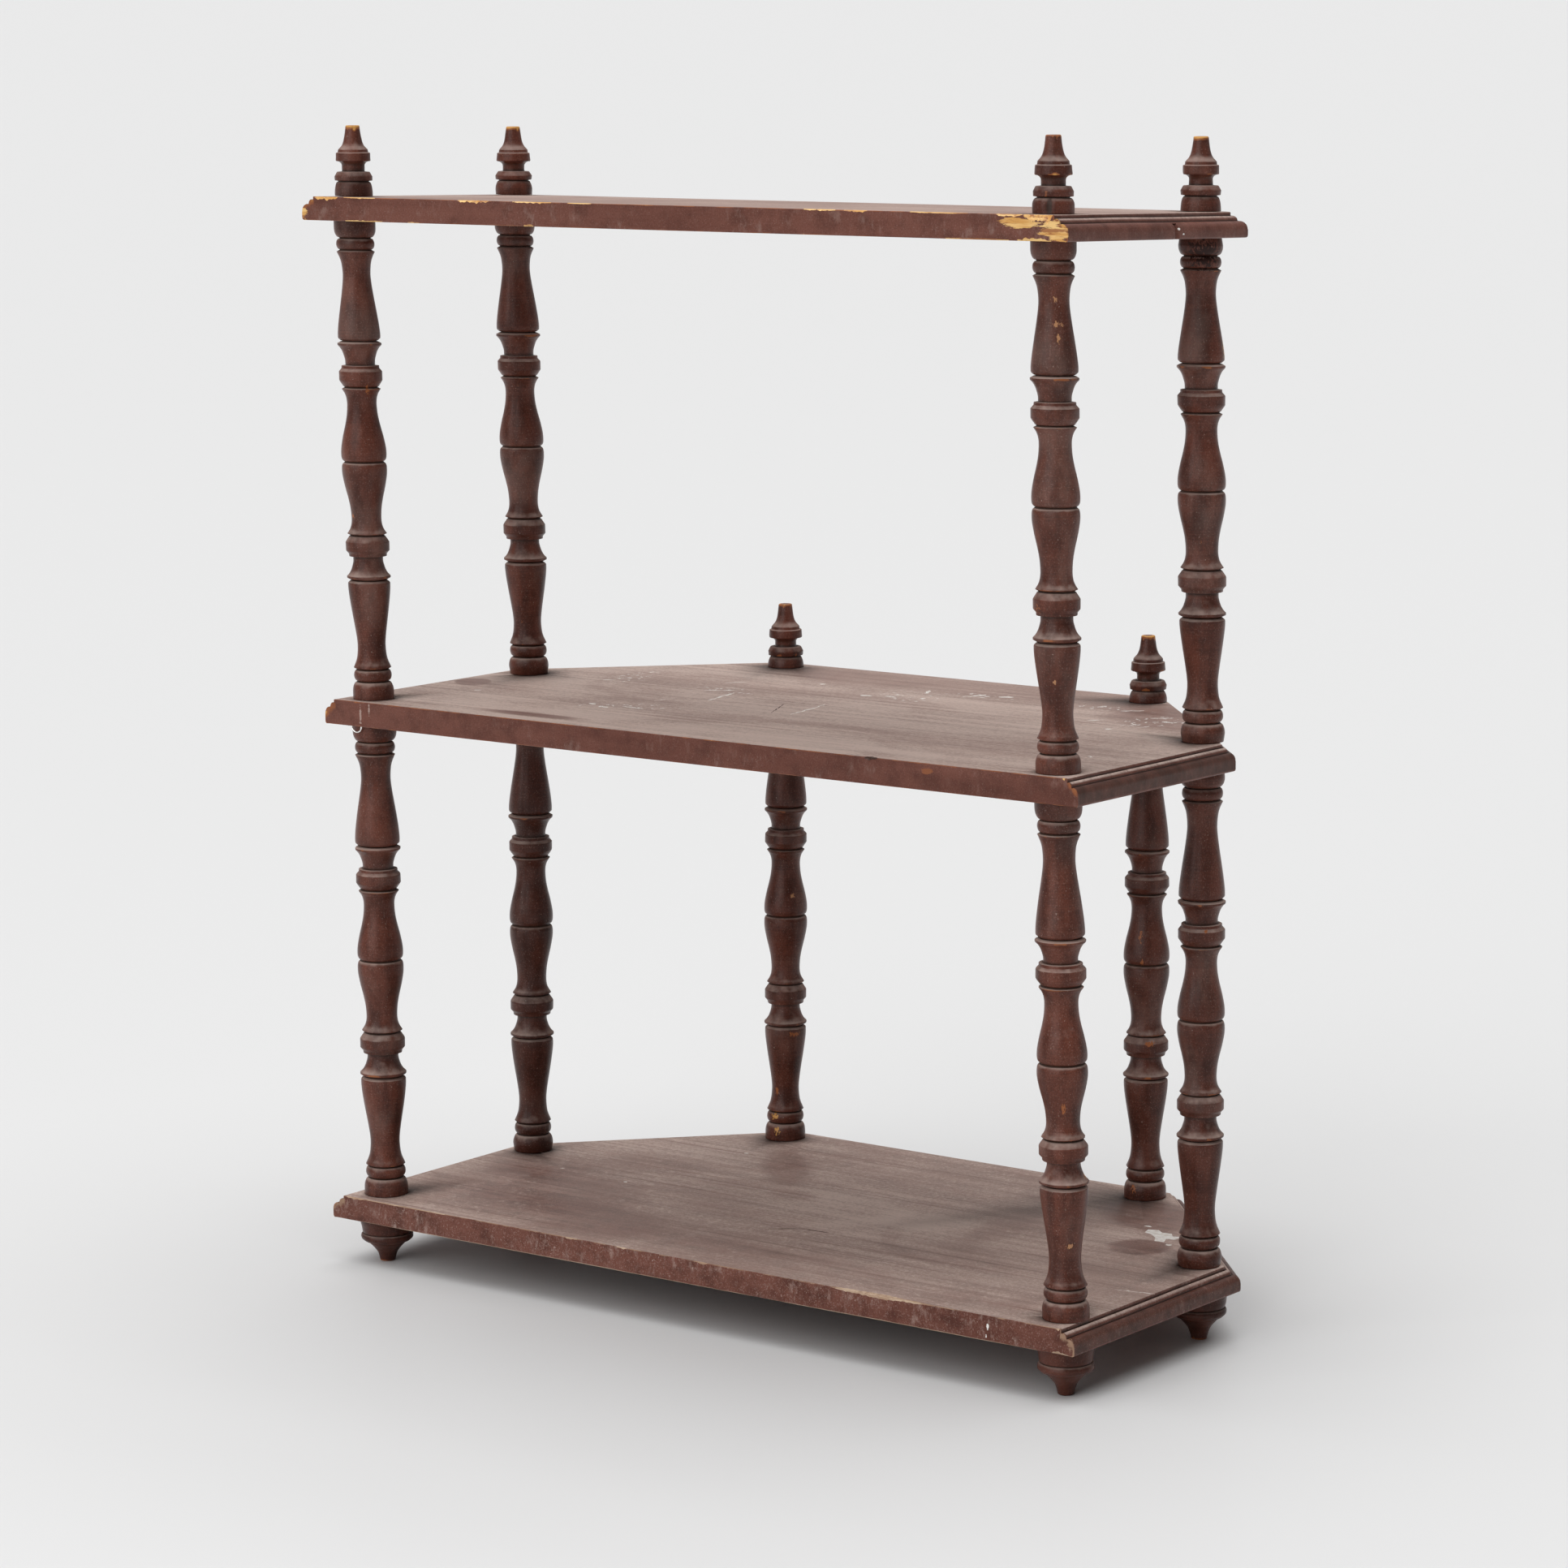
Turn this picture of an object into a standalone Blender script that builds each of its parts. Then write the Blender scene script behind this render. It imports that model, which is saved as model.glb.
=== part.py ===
"""Three-tier wall shelf: moulded boards on turned columns, with finials, drop feet and a hanging staple.

Metres, +Z up. The shelf stands on its feet at Z = 0. Its front faces -Y, its wall side +Y, and X = 0
is its middle. Left and right are those of someone who faces the front, so left is -X.
"""
import math

import bmesh
import bpy
from mathutils import Vector

# Plan of the columns
COLUMN_SPACING = 0.500
SIDE_SETBACK = 0.141
FRONT_SETBACK = 0.261
FRONT_SPACING = 0.275

# Boards
EDGE_OVERHANG = 0.024
BOTTOM_THICKNESS = 0.0145
MIDDLE_THICKNESS = 0.0165
TOP_THICKNESS = 0.014
BOTTOM_BACK_OVERHANG = 0.019
TOP_BACK_OVERHANG = 0.026

# Moulding along every edge but the wall edge, from the upper face down
FIRST_STEP_DROP = 0.0023
FIRST_TREAD = 0.0022
SECOND_STEP_DROP = 0.0018
NOSE_WIDTH = 0.0054
NOSE_DROP = 0.0042
LOWER_ARRIS = 0.0008

# Clear height under the middle and the top board
LOWER_CLEAR = 0.286
UPPER_CLEAR = 0.286

# Columns, turned alike from either end to the groove at half height
CAP_HEIGHT = 0.0107
CAP_ROUND = 0.0032
CAP_DIAMETER = 0.0242
GROOVE_DIAMETER = 0.0194
BEAD_HEIGHT = 0.0065
BEAD_FLANK = 0.0018
BEAD_DIAMETER = 0.0222
LIP_HEIGHT = 0.0013
OUTER_LIP_DIAMETER = 0.0224
OUTER_NECK_DIAMETER = 0.0166
OUTER_BELLY_DIAMETER = 0.0252
DISC_DIAMETER = 0.0260
COVE_HEIGHT = 0.0065
COVE_DIAMETER = 0.0176
SHANK_HEIGHT = 0.0065
COLLAR_FILLET_HEIGHT = 0.0035
COLLAR_FILLET_DIAMETER = 0.0230
COLLAR_HEIGHT = 0.0074
COLLAR_DIAMETER = 0.0256
COLLAR_FOOT_HEIGHT = 0.0031
INNER_LIP_DIAMETER = 0.0230
INNER_NECK_DIAMETER = 0.0174
INNER_BELLY_DIAMETER = 0.0262
CENTRE_GROOVE_DIAMETER = 0.0226

# The two vases of a half column fill what its mouldings leave: the outer one's share of that height,
# and where a vase is narrowest and where it is half swelled again, as shares of its own height
OUTER_VASE_SHARE = 0.55
VASE_NECK_AT = 0.25
VASE_SWELL_AT = 0.54

# Finials, from their base up
TOP_FINIAL_CAP_HEIGHT = 0.0102
FRONT_FINIAL_CAP_HEIGHT = 0.0067
FINIAL_CAP_DIAMETER = 0.0226
FINIAL_GROOVE_DIAMETER = 0.0180
FINIAL_GROOVE_HEIGHT = 0.0005
FINIAL_RING_HEIGHT = 0.0025
FINIAL_RING_DIAMETER = 0.0222
FINIAL_RING_SLOPE_HEIGHT = 0.0024
FINIAL_RING_TOP_DIAMETER = 0.0196
FINIAL_NECK_HEIGHT = 0.0036
FINIAL_NECK_DIAMETER = 0.0134
FINIAL_FLARE_HEIGHT = 0.0031
FINIAL_BAND_HEIGHT = 0.0048
FINIAL_BAND_DIAMETER = 0.0206
FINIAL_BEVEL_HEIGHT = 0.0026
FINIAL_BEVEL_DIAMETER = 0.0172
FINIAL_SPIRE_HEIGHT = 0.0126
FINIAL_TIP_HEIGHT = 0.0007
FINIAL_TIP_DIAMETER = 0.0088

# Drop feet, from the board down
FOOT_DRUM_HEIGHT = 0.0098
FOOT_DRUM_DIAMETER = 0.0330
FOOT_DRUM_END_DIAMETER = 0.0300
FOOT_BEAD_HEIGHT = 0.0045
FOOT_BEAD_FLANK = 0.0012
FOOT_BEAD_DIAMETER = 0.0318
FOOT_UNDERCUT_HEIGHT = 0.0024
FOOT_UNDERCUT_DIAMETER = 0.0226
FOOT_SPIRE_HEIGHT = 0.0116
FOOT_TIP_HEIGHT = 0.0007
FOOT_TIP_DIAMETER = 0.0096

# A spire's hollow side falls away as a power of the height left, and its rounded tip ends in a flat
SPIRE_HOLLOW = 2.6
TIP_FLAT_SHARE = 0.88

# Tenons that run through the boards into sockets in the column ends
TENON_DIAMETER = 0.009
TENON_REACH = 0.012
TENON_CLEARANCE = 0.0003
SOCKET_SPARE = 0.001
SEAT_GAP = 0.0003

# Hanging staple under the middle board, between the right back column and the wall edge
STAPLE_WIRE = 0.001
STAPLE_WIDTH = 0.0085
STAPLE_DROP = 0.0042
STAPLE_LEG = 0.006
STAPLE_FROM_COLUMN = 0.0014
STAPLE_FROM_EDGE = 0.0015
STAPLE_CLEARANCE = 0.0003

# Facets
TURNING_SIDES = 10
NOSE_SEGMENTS = 3
SPIRE_SEGMENTS = 3
STAPLE_BEND_SEGMENTS = 6
SHARP_ANGLE = math.radians(38)
MERGE_DISTANCE = 0.00001
BORE_OVERSHOOT = 0.002

# Heights of the board faces, stacked from the floor
FOOT_SPIRE_TOP = FOOT_TIP_HEIGHT + FOOT_SPIRE_HEIGHT
FOOT_HEIGHT = FOOT_SPIRE_TOP + FOOT_UNDERCUT_HEIGHT + FOOT_BEAD_HEIGHT + FOOT_DRUM_HEIGHT
BOTTOM_UNDERSIDE = FOOT_HEIGHT + SEAT_GAP
BOTTOM_TOP = BOTTOM_UNDERSIDE + BOTTOM_THICKNESS
MIDDLE_UNDERSIDE = BOTTOM_TOP + LOWER_CLEAR
MIDDLE_TOP = MIDDLE_UNDERSIDE + MIDDLE_THICKNESS
TOP_UNDERSIDE = MIDDLE_TOP + UPPER_CLEAR
TOP_TOP = TOP_UNDERSIDE + TOP_THICKNESS

# The middle board reaches just far enough past its back columns to take the staple
STAPLE_SETBACK = CAP_DIAMETER / 2 + STAPLE_FROM_COLUMN + STAPLE_WIRE / 2
MIDDLE_BACK_OVERHANG = STAPLE_SETBACK + STAPLE_WIRE / 2 + STAPLE_FROM_EDGE

# The deepest outline lies evenly about Y = 0
DEEPEST_BACK_OVERHANG = max(BOTTOM_BACK_OVERHANG, MIDDLE_BACK_OVERHANG, TOP_BACK_OVERHANG)
BACK_Y = (FRONT_SETBACK + EDGE_OVERHANG - DEEPEST_BACK_OVERHANG) / 2
SIDE_Y = BACK_Y - SIDE_SETBACK
FRONT_Y = BACK_Y - FRONT_SETBACK
WIDE_X = COLUMN_SPACING / 2
NARROW_X = FRONT_SPACING / 2

WIDE_STATIONS = {
    "back_left": (-WIDE_X, BACK_Y),
    "back_right": (WIDE_X, BACK_Y),
    "side_left": (-WIDE_X, SIDE_Y),
    "side_right": (WIDE_X, SIDE_Y),
}
FRONT_STATIONS = {
    "front_left": (-NARROW_X, FRONT_Y),
    "front_right": (NARROW_X, FRONT_Y),
}
ALL_STATIONS = {**WIDE_STATIONS, **FRONT_STATIONS}

# Colours (linear), roughness and metallic of each finish
FINISHES = {
    "shelf_paint": ((0.130, 0.066, 0.052), 0.62, 0.0),
    "column_paint": ((0.088, 0.034, 0.025), 0.50, 0.0),
    "finial_paint": ((0.096, 0.038, 0.027), 0.50, 0.0),
    "foot_paint": ((0.080, 0.032, 0.024), 0.58, 0.0),
    "staple_steel": ((0.620, 0.610, 0.590), 0.35, 1.0),
}


def clear_scene():
    for old in list(bpy.data.objects):
        bpy.data.objects.remove(old, do_unlink=True)


def new_collection(name):
    group = bpy.data.collections.new(name)
    bpy.context.scene.collection.children.link(group)
    return group


def finish(name):
    """Material of one kind of piece."""
    colour, roughness, metallic = FINISHES[name]
    material = bpy.data.materials.new(name)
    material.use_nodes = True
    shader = material.node_tree.nodes["Principled BSDF"]
    shader.inputs["Base Color"].default_value = (*colour, 1.0)
    shader.inputs["Roughness"].default_value = roughness
    shader.inputs["Metallic"].default_value = metallic
    material.diffuse_color = (*colour, 1.0)
    return material


def turned_mesh(name, profile):
    """A profile of (radius, height) points, listed down its outer side, turned about Z."""
    outline = bpy.data.meshes.new(name + "_profile")
    points = [(radius, 0.0, height) for radius, height in profile]
    edges = [(i, i + 1) for i in range(len(points) - 1)]
    outline.from_pydata(points, edges, [])
    blank = bpy.data.objects.new(name + "_profile", outline)
    bpy.context.scene.collection.objects.link(blank)
    screw = blank.modifiers.new("turn", "SCREW")
    screw.axis = "Z"
    screw.steps = TURNING_SIDES
    screw.render_steps = TURNING_SIDES
    screw.use_merge_vertices = True
    screw.merge_threshold = MERGE_DISTANCE
    graph = bpy.context.evaluated_depsgraph_get()
    mesh = bpy.data.meshes.new_from_object(blank.evaluated_get(graph))
    mesh.name = name
    bpy.data.objects.remove(blank, do_unlink=True)
    bpy.data.meshes.remove(outline)
    mesh.shade_smooth()
    mesh.set_sharp_from_angle(angle=SHARP_ANGLE)
    return mesh


def place(name, data, group, root, location):
    """One named object for one piece, hung on the root empty."""
    piece = bpy.data.objects.new(name, data)
    piece.location = location
    piece.parent = root
    group.objects.link(piece)
    return piece


# Boards

def offset_corners(edges):
    """Corners where each edge, given as (outward normal, distance from the origin), meets the next."""
    corners = []
    for (normal, reach), (next_normal, next_reach) in zip(edges, edges[1:] + edges[:1]):
        cross = normal.x * next_normal.y - normal.y * next_normal.x
        x = (reach * next_normal.y - next_reach * normal.y) / cross
        y = (normal.x * next_reach - next_normal.x * reach) / cross
        corners.append((x, y))
    return corners


def moulding():
    """Inset from the outermost edge and drop below the upper face, from the top down."""
    tread_inset = NOSE_WIDTH + FIRST_TREAD
    nose_start = FIRST_STEP_DROP + SECOND_STEP_DROP
    steps = [
        (tread_inset, 0.0),
        (tread_inset, FIRST_STEP_DROP),
        (NOSE_WIDTH, FIRST_STEP_DROP),
    ]
    for i in range(NOSE_SEGMENTS + 1):
        turn = math.pi / 2 * i / NOSE_SEGMENTS
        inset = NOSE_WIDTH * (1 - math.sin(turn))
        steps.append((inset, nose_start + NOSE_DROP * (1 - math.cos(turn))))
    return steps


def board_mesh(name, moulded_edges, back_reach, thickness):
    """Board with its upper face at Z = 0: moulded edges as (outward normal, a column beside it)."""
    levels = moulding()
    levels.append((0.0, thickness - LOWER_ARRIS))
    levels.append((LOWER_ARRIS, thickness))
    shape = bmesh.new()
    rings = []
    for inset, drop in levels:
        edges = [(Vector((0.0, 1.0)), back_reach)]
        for normal, column in moulded_edges:
            reach = normal.dot(Vector(column)) + EDGE_OVERHANG - inset
            edges.append((normal, reach))
        rings.append([shape.verts.new((x, y, -drop)) for x, y in offset_corners(edges)])
    shape.faces.new(rings[0])
    shape.faces.new(reversed(rings[-1]))
    for upper, lower in zip(rings, rings[1:]):
        for i in range(len(upper) - 1):
            shape.faces.new((upper[i + 1], upper[i], lower[i], lower[i + 1]))
    wall_face = [ring[0] for ring in reversed(rings)] + [ring[-1] for ring in rings]
    shape.faces.new(wall_face)
    mesh = bpy.data.meshes.new(name)
    shape.to_mesh(mesh)
    shape.free()
    return mesh


def cant_normal(start, end):
    """Outward normal of the edge beside two columns, walking anticlockwise seen from above."""
    along = (Vector(end) - Vector(start)).normalized()
    return Vector((along.y, -along.x))


def six_sided_edges():
    """Sides, cants and front of the two deep boards, anticlockwise from the left side."""
    left, front_left = ALL_STATIONS["side_left"], ALL_STATIONS["front_left"]
    right, front_right = ALL_STATIONS["side_right"], ALL_STATIONS["front_right"]
    return [
        (Vector((-1.0, 0.0)), left),
        (cant_normal(left, front_left), front_left),
        (Vector((0.0, -1.0)), front_left),
        (cant_normal(front_right, right), front_right),
        (Vector((1.0, 0.0)), right),
    ]


def clipped_edges():
    """Sides, clipped corners and front of the shallow top board, in the same order."""
    left, right = WIDE_STATIONS["side_left"], WIDE_STATIONS["side_right"]
    return [
        (Vector((-1.0, 0.0)), left),
        (Vector((-1.0, -1.0)).normalized(), left),
        (Vector((0.0, -1.0)), left),
        (Vector((1.0, -1.0)).normalized(), right),
        (Vector((1.0, 0.0)), right),
    ]


def bore_cutter(name, radius, high, low):
    """Round cutter between two heights, with the same sides as the turned pieces."""
    return turned_mesh(name, [(0.0, high), (radius, high), (radius, low), (0.0, low)])


def bore(board, name, cutter, location, cutters):
    """Cut a hole in a board."""
    tool = bpy.data.objects.new(name, cutter)
    tool.location = location
    tool.hide_render = True
    tool.display_type = "WIRE"
    cutters.objects.link(tool)
    cut = board.modifiers.new(name, "BOOLEAN")
    cut.operation = "DIFFERENCE"
    cut.solver = "EXACT"
    cut.object = tool


def bore_for_tenons(board, thickness, top, stations, cutters):
    """Bore a board through at each column."""
    radius = TENON_DIAMETER / 2 + TENON_CLEARANCE
    cutter = bore_cutter(board.name + "_bore", radius, BORE_OVERSHOOT, -thickness - BORE_OVERSHOOT)
    for station, (x, y) in stations.items():
        bore(board, f"{board.name}_bore_{station}", cutter, (x, y, top), cutters)


# Turned pieces

def vase(height, lip, neck, belly):
    """Distance from the lip and diameter down a vase, short of the groove that ends it."""
    return [
        (LIP_HEIGHT, lip),
        (height * VASE_NECK_AT, neck),
        (height * VASE_SWELL_AT, (neck + belly) / 2),
        (height - LIP_HEIGHT, belly),
    ]


def spire(wide, narrow, length):
    """Diameter and distance from the tip down a hollow-sided spire, from its narrow end."""
    points = []
    for i in range(SPIRE_SEGMENTS + 1):
        along = i / SPIRE_SEGMENTS
        points.append((narrow + (wide - narrow) * along ** SPIRE_HOLLOW, along * length))
    return points


def half_column(half_length):
    """Distance from the column's end and radius, from the end to the groove at half height."""
    vase_start = CAP_HEIGHT + BEAD_HEIGHT
    waist = COVE_HEIGHT + SHANK_HEIGHT + COLLAR_FILLET_HEIGHT + COLLAR_HEIGHT + COLLAR_FOOT_HEIGHT
    outer_height = (half_length - vase_start - waist) * OUTER_VASE_SHARE
    disc_start = vase_start + outer_height
    shank_start = disc_start + COVE_HEIGHT
    fillet_start = shank_start + SHANK_HEIGHT
    collar_start = fillet_start + COLLAR_FILLET_HEIGHT
    collar_end = collar_start + COLLAR_HEIGHT
    inner_start = collar_end + COLLAR_FOOT_HEIGHT
    inner_height = half_length - inner_start

    points = [
        (0.0, CAP_DIAMETER),
        (CAP_HEIGHT - CAP_ROUND, CAP_DIAMETER),
        (CAP_HEIGHT, GROOVE_DIAMETER),
        (CAP_HEIGHT + BEAD_FLANK, BEAD_DIAMETER),
        (vase_start - BEAD_FLANK, BEAD_DIAMETER),
        (vase_start, GROOVE_DIAMETER),
    ]
    outer = vase(outer_height, OUTER_LIP_DIAMETER, OUTER_NECK_DIAMETER, OUTER_BELLY_DIAMETER)
    points += [(vase_start + drop, diameter) for drop, diameter in outer]
    points += [
        (disc_start, GROOVE_DIAMETER),
        (disc_start + LIP_HEIGHT, DISC_DIAMETER),
        (shank_start, COVE_DIAMETER),
        (fillet_start, COVE_DIAMETER),
        (fillet_start + LIP_HEIGHT, COLLAR_FILLET_DIAMETER),
        (collar_start, COLLAR_DIAMETER),
        (collar_end, COLLAR_DIAMETER),
        (inner_start, GROOVE_DIAMETER),
    ]
    inner = vase(inner_height, INNER_LIP_DIAMETER, INNER_NECK_DIAMETER, INNER_BELLY_DIAMETER)
    points += [(inner_start + drop, diameter) for drop, diameter in inner]
    return [(along, diameter / 2) for along, diameter in points]


def socket_profile(end, inward):
    """Bore in a column's end, from the axis out to its rim: inward is 1 for up and -1 for down."""
    radius = TENON_DIAMETER / 2 + TENON_CLEARANCE
    floor = end + inward * (TENON_REACH + SOCKET_SPARE)
    return [(0.0, floor), (radius, floor), (radius, end)]


def tenon_profile(shoulder, board_thickness, outward):
    """Tenon through a board into the socket beyond it, from its shoulder to the axis at its tip."""
    radius = TENON_DIAMETER / 2
    tip = shoulder + outward * (board_thickness + 2 * SEAT_GAP + TENON_REACH)
    return [(radius, shoulder), (radius, tip), (0.0, tip)]


def column_profile(length, bottom_end):
    """Column from Z = 0 up, with a socket at its top and the given profile at its bottom end."""
    half = half_column(length / 2)
    upper = [(radius, length - along) for along, radius in half]
    lower = [(radius, along) for along, radius in reversed(half)]
    centre = [(CENTRE_GROOVE_DIAMETER / 2, length / 2)]
    return socket_profile(length, -1) + upper + centre + lower + bottom_end


def finial_profile(cap_height, board_thickness):
    """Finial with its base at Z = 0 and its tenon below."""
    ring = cap_height + FINIAL_GROOVE_HEIGHT
    slope = ring + FINIAL_RING_HEIGHT
    neck = slope + FINIAL_RING_SLOPE_HEIGHT
    flare = neck + FINIAL_NECK_HEIGHT
    band = flare + FINIAL_FLARE_HEIGHT
    bevel = band + FINIAL_BAND_HEIGHT
    spire_foot = bevel + FINIAL_BEVEL_HEIGHT
    spire_end = spire_foot + FINIAL_SPIRE_HEIGHT
    tip = spire_end + FINIAL_TIP_HEIGHT
    points = [(0.0, tip), (FINIAL_TIP_DIAMETER * TIP_FLAT_SHARE, tip)]
    for diameter, drop in spire(FINIAL_BEVEL_DIAMETER, FINIAL_TIP_DIAMETER, FINIAL_SPIRE_HEIGHT):
        points.append((diameter, spire_end - drop))
    points += [
        (FINIAL_BAND_DIAMETER, bevel),
        (FINIAL_BAND_DIAMETER, band),
        (FINIAL_NECK_DIAMETER, flare),
        (FINIAL_NECK_DIAMETER, neck),
        (FINIAL_RING_TOP_DIAMETER, neck),
        (FINIAL_RING_DIAMETER, slope),
        (FINIAL_RING_DIAMETER, ring),
        (FINIAL_GROOVE_DIAMETER, cap_height),
        (FINIAL_CAP_DIAMETER, cap_height - CAP_ROUND),
        (FINIAL_CAP_DIAMETER, 0.0),
    ]
    profile = [(diameter / 2, height) for diameter, height in points]
    return profile + tenon_profile(0.0, board_thickness, -1)


def foot_profile():
    """Drop foot with its tip at Z = 0 and its tenon above."""
    bead = FOOT_SPIRE_TOP + FOOT_UNDERCUT_HEIGHT
    drum = bead + FOOT_BEAD_HEIGHT
    points = [
        (FOOT_DRUM_DIAMETER, FOOT_HEIGHT),
        (FOOT_DRUM_END_DIAMETER, drum),
        (FOOT_BEAD_DIAMETER, drum - FOOT_BEAD_FLANK),
        (FOOT_BEAD_DIAMETER, bead + FOOT_BEAD_FLANK),
    ]
    for diameter, rise in reversed(spire(FOOT_UNDERCUT_DIAMETER, FOOT_TIP_DIAMETER, FOOT_SPIRE_HEIGHT)):
        points.append((diameter, FOOT_TIP_HEIGHT + rise))
    points += [(FOOT_TIP_DIAMETER * TIP_FLAT_SHARE, 0.0), (0.0, 0.0)]
    tenon = tenon_profile(FOOT_HEIGHT, BOTTOM_THICKNESS, 1)
    return tenon[::-1] + [(diameter / 2, height) for diameter, height in points]


# Hanging staple

def staple_spine():
    """Points along the wire, with the board's underside at Z = 0: leg, round bend, leg."""
    half = (STAPLE_WIDTH - STAPLE_WIRE) / 2
    depth = STAPLE_DROP - STAPLE_WIRE / 2
    points = [(-half, 0.0, STAPLE_LEG)]
    for i in range(STAPLE_BEND_SEGMENTS + 1):
        turn = math.pi * i / STAPLE_BEND_SEGMENTS
        points.append((-half * math.cos(turn), 0.0, -depth * math.sin(turn)))
    points.append((half, 0.0, STAPLE_LEG))
    return points


def make_staple(board, group, cutters, root, material):
    """Bent wire eye with its legs driven up into the middle board."""
    x, column_y = WIDE_STATIONS["back_right"]
    y = column_y + STAPLE_SETBACK
    points = staple_spine()
    wire = bpy.data.curves.new("hanging_staple", "CURVE")
    wire.dimensions = "3D"
    wire.bevel_depth = STAPLE_WIRE / 2
    wire.bevel_resolution = 1
    wire.use_fill_caps = True
    spline = wire.splines.new("POLY")
    spline.points.add(len(points) - 1)
    for target, point in zip(spline.points, points):
        target.co = (*point, 1.0)
    wire.materials.append(material)
    place("hanging_staple", wire, group, root, (x, y, MIDDLE_UNDERSIDE))

    radius = STAPLE_WIRE / 2 + STAPLE_CLEARANCE
    cutter = bore_cutter("staple_bore", radius, STAPLE_LEG + STAPLE_CLEARANCE, -BORE_OVERSHOOT)
    for side, leg in (("left", points[0]), ("right", points[-1])):
        bore(board, f"staple_bore_{side}", cutter, (x + leg[0], y, MIDDLE_UNDERSIDE), cutters)


def build():
    clear_scene()
    group = new_collection("wall_shelf")
    cutters = new_collection("wall_shelf_cutters")
    root = bpy.data.objects.new("wall_shelf_root", None)
    group.objects.link(root)
    finishes = {name: finish(name) for name in FINISHES}

    boards = [
        ("bottom_shelf", six_sided_edges(), BOTTOM_BACK_OVERHANG, BOTTOM_THICKNESS, BOTTOM_TOP, ALL_STATIONS),
        ("middle_shelf", six_sided_edges(), MIDDLE_BACK_OVERHANG, MIDDLE_THICKNESS, MIDDLE_TOP, ALL_STATIONS),
        ("top_shelf", clipped_edges(), TOP_BACK_OVERHANG, TOP_THICKNESS, TOP_TOP, WIDE_STATIONS),
    ]
    shelves = {}
    for name, edges, back_overhang, thickness, top, stations in boards:
        mesh = board_mesh(name, edges, BACK_Y + back_overhang, thickness)
        mesh.materials.append(finishes["shelf_paint"])
        shelves[name] = place(name, mesh, group, root, (0.0, 0.0, top))
        bore_for_tenons(shelves[name], thickness, top, stations, cutters)

    lower_column = column_profile(LOWER_CLEAR - 2 * SEAT_GAP, socket_profile(0.0, 1)[::-1])
    upper_column = column_profile(UPPER_CLEAR - 2 * SEAT_GAP, tenon_profile(0.0, MIDDLE_THICKNESS, -1))
    top_finial = finial_profile(TOP_FINIAL_CAP_HEIGHT, TOP_THICKNESS)
    front_finial = finial_profile(FRONT_FINIAL_CAP_HEIGHT, MIDDLE_THICKNESS)
    turnings = [
        ("foot", foot_profile(), ALL_STATIONS, 0.0, "foot_paint"),
        ("lower_column", lower_column, ALL_STATIONS, BOTTOM_TOP + SEAT_GAP, "column_paint"),
        ("upper_column", upper_column, WIDE_STATIONS, MIDDLE_TOP + SEAT_GAP, "column_paint"),
        ("finial", front_finial, FRONT_STATIONS, MIDDLE_TOP + SEAT_GAP, "finial_paint"),
        ("top_finial", top_finial, WIDE_STATIONS, TOP_TOP + SEAT_GAP, "finial_paint"),
    ]
    for kind, profile, stations, base, paint in turnings:
        mesh = turned_mesh(kind, profile)
        mesh.materials.append(finishes[paint])
        for station, (x, y) in stations.items():
            place(f"{kind}_{station}", mesh, group, root, (x, y, base))

    make_staple(shelves["middle_shelf"], group, cutters, root, finishes["staple_steel"])


build()
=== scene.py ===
"""Looks of the three-tier wall shelf: hand-turned columns, moulded boards, worn paint, dust and bare wood.

Metres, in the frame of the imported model: +Z up, the wall side faces +Y, and left is -X. The outlines of
turned pieces and mouldings are written in millimetres.
"""
import math
import random

import bpy
import numpy as np
from mathutils import Matrix, Vector, geometry, noise


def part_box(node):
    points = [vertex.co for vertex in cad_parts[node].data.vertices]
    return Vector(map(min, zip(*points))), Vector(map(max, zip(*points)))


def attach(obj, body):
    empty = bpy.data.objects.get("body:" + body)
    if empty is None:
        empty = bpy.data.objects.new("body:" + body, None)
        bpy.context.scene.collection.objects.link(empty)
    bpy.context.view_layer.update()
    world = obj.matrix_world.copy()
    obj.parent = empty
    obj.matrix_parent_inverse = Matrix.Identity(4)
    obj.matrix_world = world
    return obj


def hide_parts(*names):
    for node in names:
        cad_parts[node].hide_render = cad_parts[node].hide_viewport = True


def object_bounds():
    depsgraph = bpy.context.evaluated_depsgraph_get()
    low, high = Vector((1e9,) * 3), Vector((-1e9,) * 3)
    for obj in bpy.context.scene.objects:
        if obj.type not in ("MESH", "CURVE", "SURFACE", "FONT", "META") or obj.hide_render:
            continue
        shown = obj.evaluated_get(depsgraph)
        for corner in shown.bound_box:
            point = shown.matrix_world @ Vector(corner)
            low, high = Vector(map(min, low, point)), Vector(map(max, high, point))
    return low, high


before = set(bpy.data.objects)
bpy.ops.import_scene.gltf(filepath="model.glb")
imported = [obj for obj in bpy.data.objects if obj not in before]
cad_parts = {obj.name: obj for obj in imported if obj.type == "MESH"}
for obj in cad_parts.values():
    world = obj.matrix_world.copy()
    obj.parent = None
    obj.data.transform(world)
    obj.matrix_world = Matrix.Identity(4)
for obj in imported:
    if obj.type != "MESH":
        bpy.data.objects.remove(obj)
CAD_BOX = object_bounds()

MM = 0.001

# Fits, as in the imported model
SEAT_GAP = 0.3 * MM
TENON_RADIUS = 4.5
TENON_REACH = 12.0
SOCKET_RADIUS = 4.8
SOCKET_DEPTH = 13.0

# Fineness of the turned pieces
TURNED_SIDES = 48
OUTLINE_STEP = 0.15
OUTLINE_ROUNDING = 0.11
OUTLINE_RELIEF = 1.7
OUTLINE_TOLERANCE = 0.012
LONGEST_RING = 2.5
TINY_LENGTH = 1e-9
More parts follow.
